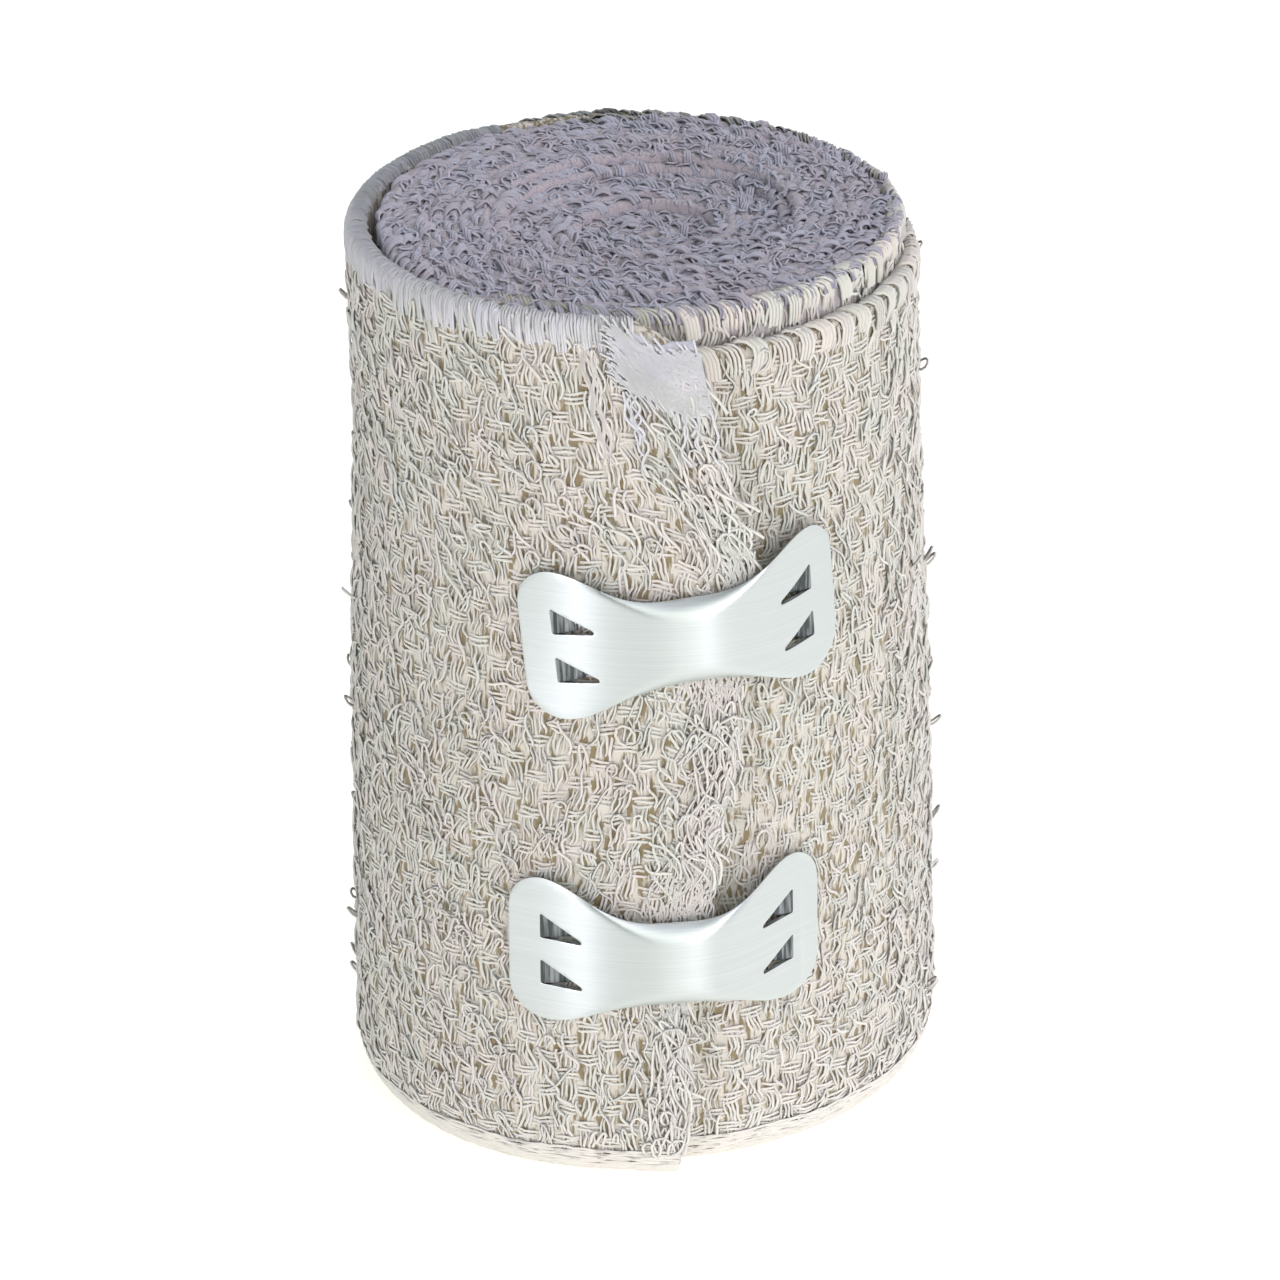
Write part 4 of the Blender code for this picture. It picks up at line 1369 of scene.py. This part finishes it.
# %% Foot band
FOOT_BAND_ROWS = 14
FOOT_BAND_START = 0.001
FOOT_BAND_FIRST = 0.35 * MM
FOOT_BAND_LOWEST = 0.2 * MM
FOOT_BAND_OUT = 0.22 * MM
FOOT_BAND_THICK = 1.5
FOOT_BAND_SHADE = (0.85, 1.0)
FOOT_BAND_WAVES = ((0.06 * MM, 2.2 * MM), (0.10 * MM, 9.0 * MM))
FOOT_BAND_DEPTH_WAVES = ((0.04 * MM, 1.9 * MM),)


def foot_band_threads():
    threads = []
    place = np.arange(FOOT_BAND_START, LAST_PLACE, WARP_STEP / WALL_LENGTH)
    along = place * WALL_LENGTH
    for row in range(FOOT_BAND_ROWS):
        height = FOOT_BAND_FIRST + FOOT_BAND_HEIGHT * row / FOOT_BAND_ROWS
        height = np.maximum(height + wander(along, FOOT_BAND_WAVES), FOOT_BAND_LOWEST)
        out = FOOT_BAND_OUT + wander(along, FOOT_BAND_DEPTH_WAVES)
        threads.append((on_cloth(place, height, out), FOOT_BAND_THICK, random.uniform(*FOOT_BAND_SHADE)))
    return threads


foot_band = spun("foot_band", foot_band_threads())

# %% [markdown]
# ## The clips
# Each clip is a stamped bow tie of bright steel. Its plate follows the roll, bows out a little in
# the middle, and its two long edges curl in where it is narrow. Four triangles were cut on two
# sides and pushed through, so each window has a tooth at its base. The steps are those of the
# factory: a flat plate is made, a Boolean cuts its windows, Bevel breaks its edges, and only then
# is every point bent to the shape. Cutting after bending would be harder, and less clean.

# %% Clip sizes
CLIP_HALF_LENGTH = 13.1 * MM
CLIP_LOBE = 6.5 * MM
CLIP_WAIST = 3.85 * MM
CLIP_CORNER = 2.9 * MM
CLIP_SWELL_POWER = 1.4
CLIP_STANDOFF = 0.75 * MM
CLIP_THICKNESS = 0.30 * MM
CLIP_DROP = 1.5 * MM
CLIP_DROP_WIDTH = 9.0 * MM
CLIP_OVER_CLOTH = 1.2 * MM
CLIP_CLEAR_OF_EDGE = 1.0 * MM
CLIP_BEVEL = 0.07 * MM
CLIP_BEVEL_FROM = math.radians(40.0)
CLIP_SHARP_FROM = math.radians(35.0)
LIP_RADIUS = 1.9 * MM
LIP_EDGE = 0.40 * MM
LIP_TURN = math.radians(62.0)
LIP_EDGE_TURN = math.radians(25.0)
LIP_REACH = 8.5 * MM
PLATE_COLUMNS = 74
PLATE_ROWS = 34
PLATE_CROWDED, PLATE_EVEN = (0.55, 0.45)
WINDOW_MIDDLE = 2.05 * MM
WINDOW_BASE = 10.5 * MM
WINDOW_APEX = 7.2 * MM
WINDOW_HALF_BASE = 1.08 * MM
WINDOW_HALF_APEX = 0.16 * MM
WINDOW_SLANT = 0.75 * MM
WINDOW_CORNER = 0.22 * MM
WINDOW_CORNER_STEPS = 5
TOOTH_LENGTH = 3.2 * MM
TOOTH_BEND = math.radians(27.0)
TOOTH_BEND_LENGTH = 0.9 * MM
TOOTH_THICKNESS = 0.3 * MM
TOOTH_ROOT = 0.3 * MM
TOOTH_ROOT_DEPTH = 0.17 * MM
TOOTH_CLEARANCE = 0.06 * MM
TOOTH_NARROWS = 0.85
TOOTH_ROWS, TOOTH_COLUMNS = (14, 5)

# Where each clip sits: middle along the front, height, tilt, bow outwards and sag of its waist
CLIPS = {
    "clip_upper": (3.4 * MM, 49.35 * MM, math.radians(5.0), 0.9 * MM, 0.3 * MM),
    "clip_lower": (1.9 * MM, 21.9 * MM, math.radians(-0.2), 1.3 * MM, 0.9 * MM),
}

# %% Clip shape


def on_clip(clip, along, across, depth):
    """Points of a clip at this place of its plate and this depth below its outer face."""
    middle, middle_height, tilt, bow, sag = clip
    arch = bump(along / CLIP_HALF_LENGTH)
    round_front = middle + along * math.cos(tilt) - across * math.sin(tilt)
    height = middle_height + along * math.sin(tilt) + across * math.cos(tilt) - sag * arch
    plate_radius = body_radius(0.0, middle_height) + CLIP_OVER_CLOTH
    angle = round_front / plate_radius
    edge_angle = angle_at(edge_wraps(middle_height))
    past_edge = (round_front - edge_angle * plate_radius - CLIP_CLEAR_OF_EDGE) / CLIP_DROP_WIDTH
    wraps = (LOOSE_EDGE_ANGLE - angle) / (2.0 * math.pi)
    radius = body_radius(angle, height) + OUTER_PITCH * (0.5 - wraps) + CLIP_STANDOFF
    radius = radius + bow * arch - CLIP_DROP * smooth(past_edge)
    return rolled(radius - depth, angle, height, 0.0)


def clip_half_width(along):
    """Half the width of the finished clip at these distances from its middle."""
    along = np.abs(along)
    corner_from = CLIP_HALF_LENGTH - CLIP_CORNER
    reach = np.clip(along - corner_from, 0.0, CLIP_CORNER)
    round_end = CLIP_LOBE - CLIP_CORNER + np.sqrt(CLIP_CORNER**2 - reach**2)
    swell = smooth((np.minimum(along, corner_from) / corner_from) ** CLIP_SWELL_POWER)
    return np.where(along > corner_from, round_end, CLIP_WAIST + (CLIP_LOBE - CLIP_WAIST) * swell)


def lip_at(along):
    """The radius and the turn of the curled edge."""
    ends = smooth(np.abs(along) / LIP_REACH)
    return LIP_RADIUS + (LIP_EDGE - LIP_RADIUS) * ends, LIP_TURN + (LIP_EDGE_TURN - LIP_TURN) * ends


def flat_plate(name):
    """The clip before it is bent: a flat closed plate, wider by what its edges will take.

    Its columns lie closer together towards its two ends.
    """
    turn = np.linspace(-0.5 * math.pi, 0.5 * math.pi, PLATE_COLUMNS)
    along = CLIP_HALF_LENGTH * (PLATE_CROWDED * np.sin(turn) + PLATE_EVEN * turn / (0.5 * math.pi))
    lip, bend = lip_at(along)
    half = clip_half_width(along) - lip + lip * bend
    shares = np.linspace(-1.0, 1.0, PLATE_ROWS)
    faces = []
    for depth, order in ((0.0, shares), (-CLIP_THICKNESS, shares[::-1])):
        across = half[:, None] * order
        faces.append(np.stack(np.broadcast_arrays(along[:, None], across, depth), axis=-1))
    mesh = grid_mesh(name, np.concatenate(faces, axis=1), closed_round=True)
    face_outwards(mesh)
    return new_piece(name, mesh)


def bent(clip, mesh):
    """Bends the flat plate: first its lips, and then the whole of it round the roll."""
    points = np.zeros(len(mesh.vertices) * 3)
    mesh.vertices.foreach_get("co", points)
    along, arc, depth = points.reshape(-1, 3).T * np.array(((1.0,), (1.0,), (-1.0,)))
    lip = lip_at(along)[0]
    straight = clip_half_width(along) - lip
    past = np.maximum(np.abs(arc) - straight, 0.0) / lip
    across = np.sign(arc) * (np.minimum(np.abs(arc), straight) + (lip - depth) * np.sin(past))
    fall = lip - (lip - depth) * np.cos(past)
    mesh.vertices.foreach_set("co", on_clip(clip, along, across, fall).ravel())
    mesh.update()


def rounded_outline(corners, radius, most=0.4):
    """A polygon's corners, each replaced by a short arc that takes at most this share of a side."""
    outline = []
    for number, corner in enumerate(corners):
        before = corners[number - 1] - corner
        after = corners[(number + 1) % len(corners)] - corner
        start = corner + before * min(radius / np.linalg.norm(before), most)
        end = corner + after * min(radius / np.linalg.norm(after), most)
        for step in np.linspace(0.0, 1.0, WINDOW_CORNER_STEPS):
            outline.append((1 - step) ** 2 * start + 2 * step * (1 - step) * corner + step**2 * end)
    return np.array(outline)


def window_cutter():
    """Prisms through the flat plate, one for each window."""
    corners = np.array(
        (
            (WINDOW_BASE, -WINDOW_HALF_BASE),
            (WINDOW_BASE, WINDOW_HALF_BASE),
            (WINDOW_APEX, WINDOW_HALF_APEX - WINDOW_SLANT),
            (WINDOW_APEX, -WINDOW_HALF_APEX - WINDOW_SLANT),
        )
    )
    outline = rounded_outline(corners, WINDOW_CORNER)
    shape = bmesh.new()
    for end in (-1.0, 1.0):
        for middle in (-WINDOW_MIDDLE, WINDOW_MIDDLE):
            rings = []
            for depth in (CLIP_THICKNESS, -2.0 * CLIP_THICKNESS):
                rings.append([shape.verts.new((end * x, middle + y, depth)) for x, y in outline])
            top, low = rings
            shape.faces.new(top)
            shape.faces.new(low[::-1])
            for here in range(len(top)):
                there = (here + 1) % len(top)
                shape.faces.new((top[there], top[here], low[here], low[there]))
    mesh = bpy.data.meshes.new("clip_windows")
    shape.to_mesh(mesh)
    shape.free()
    face_outwards(mesh)
    return new_piece("clip_windows", mesh)


def tooth_points(clip, end, side):
    """A tooth's grid: it leaves the window's base, bends in and narrows to its tip."""
    run = np.linspace(0.0, TOOTH_LENGTH, TOOTH_ROWS)
    bend = TOOTH_BEND * smooth(run / TOOTH_BEND_LENGTH)
    along = WINDOW_BASE + TOOTH_ROOT - np.cumsum(np.cos(bend)) * run[1]
    depth = TOOTH_ROOT_DEPTH + np.cumsum(np.sin(bend)) * run[1]
    narrow = run / TOOTH_LENGTH
    half = (WINDOW_HALF_BASE - TOOTH_CLEARANCE) * (1.0 - TOOTH_NARROWS * narrow)
    across = side * WINDOW_MIDDLE - WINDOW_SLANT * narrow
    across = across[:, None] + half[:, None] * np.linspace(-1.0, 1.0, TOOTH_COLUMNS)
    return on_clip(clip, end * along[:, None], across, depth[:, None])


def evaluated_mesh(piece):
    """The mesh that a piece's modifiers make, after which the piece itself is removed."""
    mesh = bpy.data.meshes.new_from_object(piece.evaluated_get(bpy.context.evaluated_depsgraph_get()))
    bpy.data.objects.remove(piece)
    return mesh


def clip(node):
    """One whole clip: its bent plate and four teeth."""
    plate = flat_plate(node)
    cutter = window_cutter()
    cut = plate.modifiers.new("windows", "BOOLEAN")
    cut.object = cutter
    soften = plate.modifiers.new("edges", "BEVEL")
    soften.width = CLIP_BEVEL
    soften.segments = 2
    soften.limit_method = "ANGLE"
    soften.angle_limit = CLIP_BEVEL_FROM
    mesh = evaluated_mesh(plate)
    bpy.data.objects.remove(cutter)
    bent(CLIPS[node], mesh)
    whole = bmesh.new()
    whole.from_mesh(mesh)
    for end in (-1.0, 1.0):
        for side in (-1.0, 1.0):
            tooth = new_piece("tooth", grid_mesh("tooth", tooth_points(CLIPS[node], end, side)))
            thick = tooth.modifiers.new("thickness", "SOLIDIFY")
            thick.thickness = TOOTH_THICKNESS
            thick.offset = 0.0
            tooth_mesh = evaluated_mesh(tooth)
            face_outwards(tooth_mesh)
            whole.from_mesh(tooth_mesh)
    plate_points = len(mesh.vertices)
    whole.to_mesh(mesh)
    whole.free()
    # The teeth are marked for darker steel: painted shadow of the recess they sit in.
    tooth_shadow = mesh.attributes.new("tooth_shadow", "FLOAT", "POINT")
    tooth_shadow.data.foreach_set("value", (np.arange(len(mesh.vertices)) >= plate_points).astype(np.float32))
    mesh.shade_smooth()
    mesh.set_sharp_from_angle(angle=CLIP_SHARP_FROM)
    made = new_piece(node + "_steel", mesh, clip_steel)
    print(f"{made.name}: {len(mesh.polygons)} faces")
    return made


# %% [markdown]
# ## Brushed steel
# The plate was rolled before it was stamped, so fine scratches run along it. They are noise on
# object coordinates, stretched along the clip, and only tilt the surface by a hair. Brushed metal
# spreads a reflection across its scratches, so the lamps show as upright bands: the shader's
# anisotropy does that, turned by a quarter. The teeth sit in their own shadow, painted as darker steel.

# %% Clip material
STEEL_DARK = (0.60, 0.645, 0.62, 1.0)
STEEL_LIGHT = (0.67, 0.71, 0.685, 1.0)
# The teeth's colours: painted shadow, dark steel with faint streaks.
TOOTH_SHADOW_DARK = (0.08, 0.09, 0.09, 1.0)
TOOTH_SHADOW_LIGHT = (0.30, 0.32, 0.32, 1.0)
STEEL_ROUGHNESS = 0.33
STEEL_ANISOTROPY = 0.88
QUARTER_TURN = 0.25
SCRATCHES = (70.0, 70.0, 14000.0)
SCRATCH_RANGE = (0.3, 0.7)
TOOTH_STREAKS = (4000.0, 4000.0, 300.0)


def steel_material():
    material, tree, shader = new_material("clip_steel", STEEL_ROUGHNESS, metallic=1.0)
    place = tree.nodes.new("ShaderNodeTexCoord").outputs["Object"]
    fine = patchy(tree, stretched(tree, place, SCRATCHES), 1.0, SCRATCH_RANGE, detail=3.0)
    plate = mixed(tree, fine, STEEL_DARK, STEEL_LIGHT)
    streak = patchy(tree, stretched(tree, place, TOOTH_STREAKS), 1.0)
    tooth = mixed(tree, streak, TOOTH_SHADOW_DARK, TOOTH_SHADOW_LIGHT)
    tooth_shadow = add_node(tree, "ShaderNodeAttribute", attribute_name="tooth_shadow").outputs["Fac"]
    tree.links.new(mixed(tree, tooth_shadow, plate, tooth), shader.inputs["Base Color"])
    add_relief(tree, shader, fine, strength=0.15, depth=0.01 * MM)
    shader.inputs["Anisotropic"].default_value = STEEL_ANISOTROPY
    shader.inputs["Anisotropic Rotation"].default_value = QUARTER_TURN
    return material


clip_steel = steel_material()
clip_upper = clip("clip_upper")
clip_lower = clip("clip_lower")

# %% [markdown]
# ## Floor and light
# The roll stands on a plain white floor that glows a little, as a lit table does. A broad soft box
# lights it from the front, two narrow upright ones show in the steel as bands, and the sky is
# bright above and on the right.

# %% Stage
FLOOR_SIZE = 3.0
FLOOR_WHITE = (0.80, 0.80, 0.80, 1.0)
FLOOR_GLOW = 0.75
FLOOR_GLOW_COLOUR = (1.0, 0.97, 0.89, 1.0)
BRIGHT_SKY = (0.80, 0.15, 0.58)
SKY_SPAN = (0.20, 0.62)
SKY_STRENGTH = 1.05
SKY_DARK = (0.05, 0.10, 0.10, 1.0)
SKY_LIGHT = (0.88, 0.88, 1.0, 1.0)

# The lamps: place, size, power and colour
LAMPS = {
    "front_box": ((0.30, -1.08, 0.42), (0.50, 0.80), 2.2, (1.0, 0.98, 0.96)),
    "right_strip": ((0.41, -0.92, 0.30), (0.12, 0.60), 1.1, (0.90, 0.84, 1.0)),
    "left_strip": ((-0.56, -0.83, 0.30), (0.12, 0.60), 2.4, (0.90, 0.84, 1.0)),
}


def add_floor():
    mesh = bpy.data.meshes.new("floor")
    half = FLOOR_SIZE / 2.0
    corners = [(-half, -half, 0.0), (half, -half, 0.0), (half, half, 0.0), (-half, half, 0.0)]
    mesh.from_pydata(corners, [], [(0, 1, 2, 3)])
    material, _, shader = new_material("floor_paper", 0.9)
    shader.inputs["Base Color"].default_value = FLOOR_WHITE
    shader.inputs["Emission Color"].default_value = FLOOR_GLOW_COLOUR
    shader.inputs["Emission Strength"].default_value = FLOOR_GLOW
    shader.inputs["Specular IOR Level"].default_value = 0.1
    new_piece("floor", mesh, material)


def add_lamp(name, place, size, power, colour):
    """A soft box that faces the roll."""
    light = bpy.data.lights.new(name, "AREA")
    light.shape = "RECTANGLE"
    light.size, light.size_y = size
    light.energy = power
    light.color = colour
    lamp = bpy.data.objects.new(name, light)
    bpy.context.scene.collection.objects.link(lamp)
    lamp.location = place
    aim = Vector((0.0, 0.0, ROLL_HEIGHT / 2.0)) - lamp.location
    lamp.rotation_euler = aim.to_track_quat("-Z", "Y").to_euler()


def add_sky():
    """A sky that is bright lavender overhead and to the right, and dark teal low on the left."""
    world = bpy.data.worlds.new("sky")
    world.use_nodes = True
    tree = world.node_tree
    way = tree.nodes.new("ShaderNodeTexCoord").outputs["Generated"]
    towards = add_node(tree, "ShaderNodeVectorMath", operation="DOT_PRODUCT")
    tree.links.new(way, towards.inputs[0])
    towards.inputs[1].default_value = BRIGHT_SKY
    share = in_range(tree, towards.outputs["Value"], *SKY_SPAN)
    sky = tree.nodes["Background"]
    tree.links.new(mixed(tree, share, SKY_DARK, SKY_LIGHT), sky.inputs["Color"])
    sky.inputs["Strength"].default_value = SKY_STRENGTH
    bpy.context.scene.world = world


add_floor()
add_sky()
for name, values in LAMPS.items():
    add_lamp(name, *values)
bpy.context.scene.view_settings.view_transform = "Standard"

# %% [markdown]
# ## Handing the pieces over
# Each piece rides on the roll's only body, and the imported solids that the pieces replace are hidden.

# %% Ride and replace
rims = (top_hooks, wall_hooks, inner_hooks, band_hooks, top_curls, foot_band)
edges = (edge_fuzz, corner_fuzz, corner)
cloth_pieces = (wound, loose, weft_left, weft_right, weft_inner, warp, snarls, *edges, *rims)
for piece in cloth_pieces:
    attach(piece, "root")
for piece, node in ((clip_upper, "clip_upper"), (clip_lower, "clip_lower")):
    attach(piece, "root")
    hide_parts(node)
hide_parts("wound_roll")
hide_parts("loose_end")

total = 0
for piece in (*cloth_pieces, clip_upper, clip_lower):
    piece.data.calc_loop_triangles()
    total += len(piece.data.loop_triangles)
print(f"all pieces together: {total} triangles")
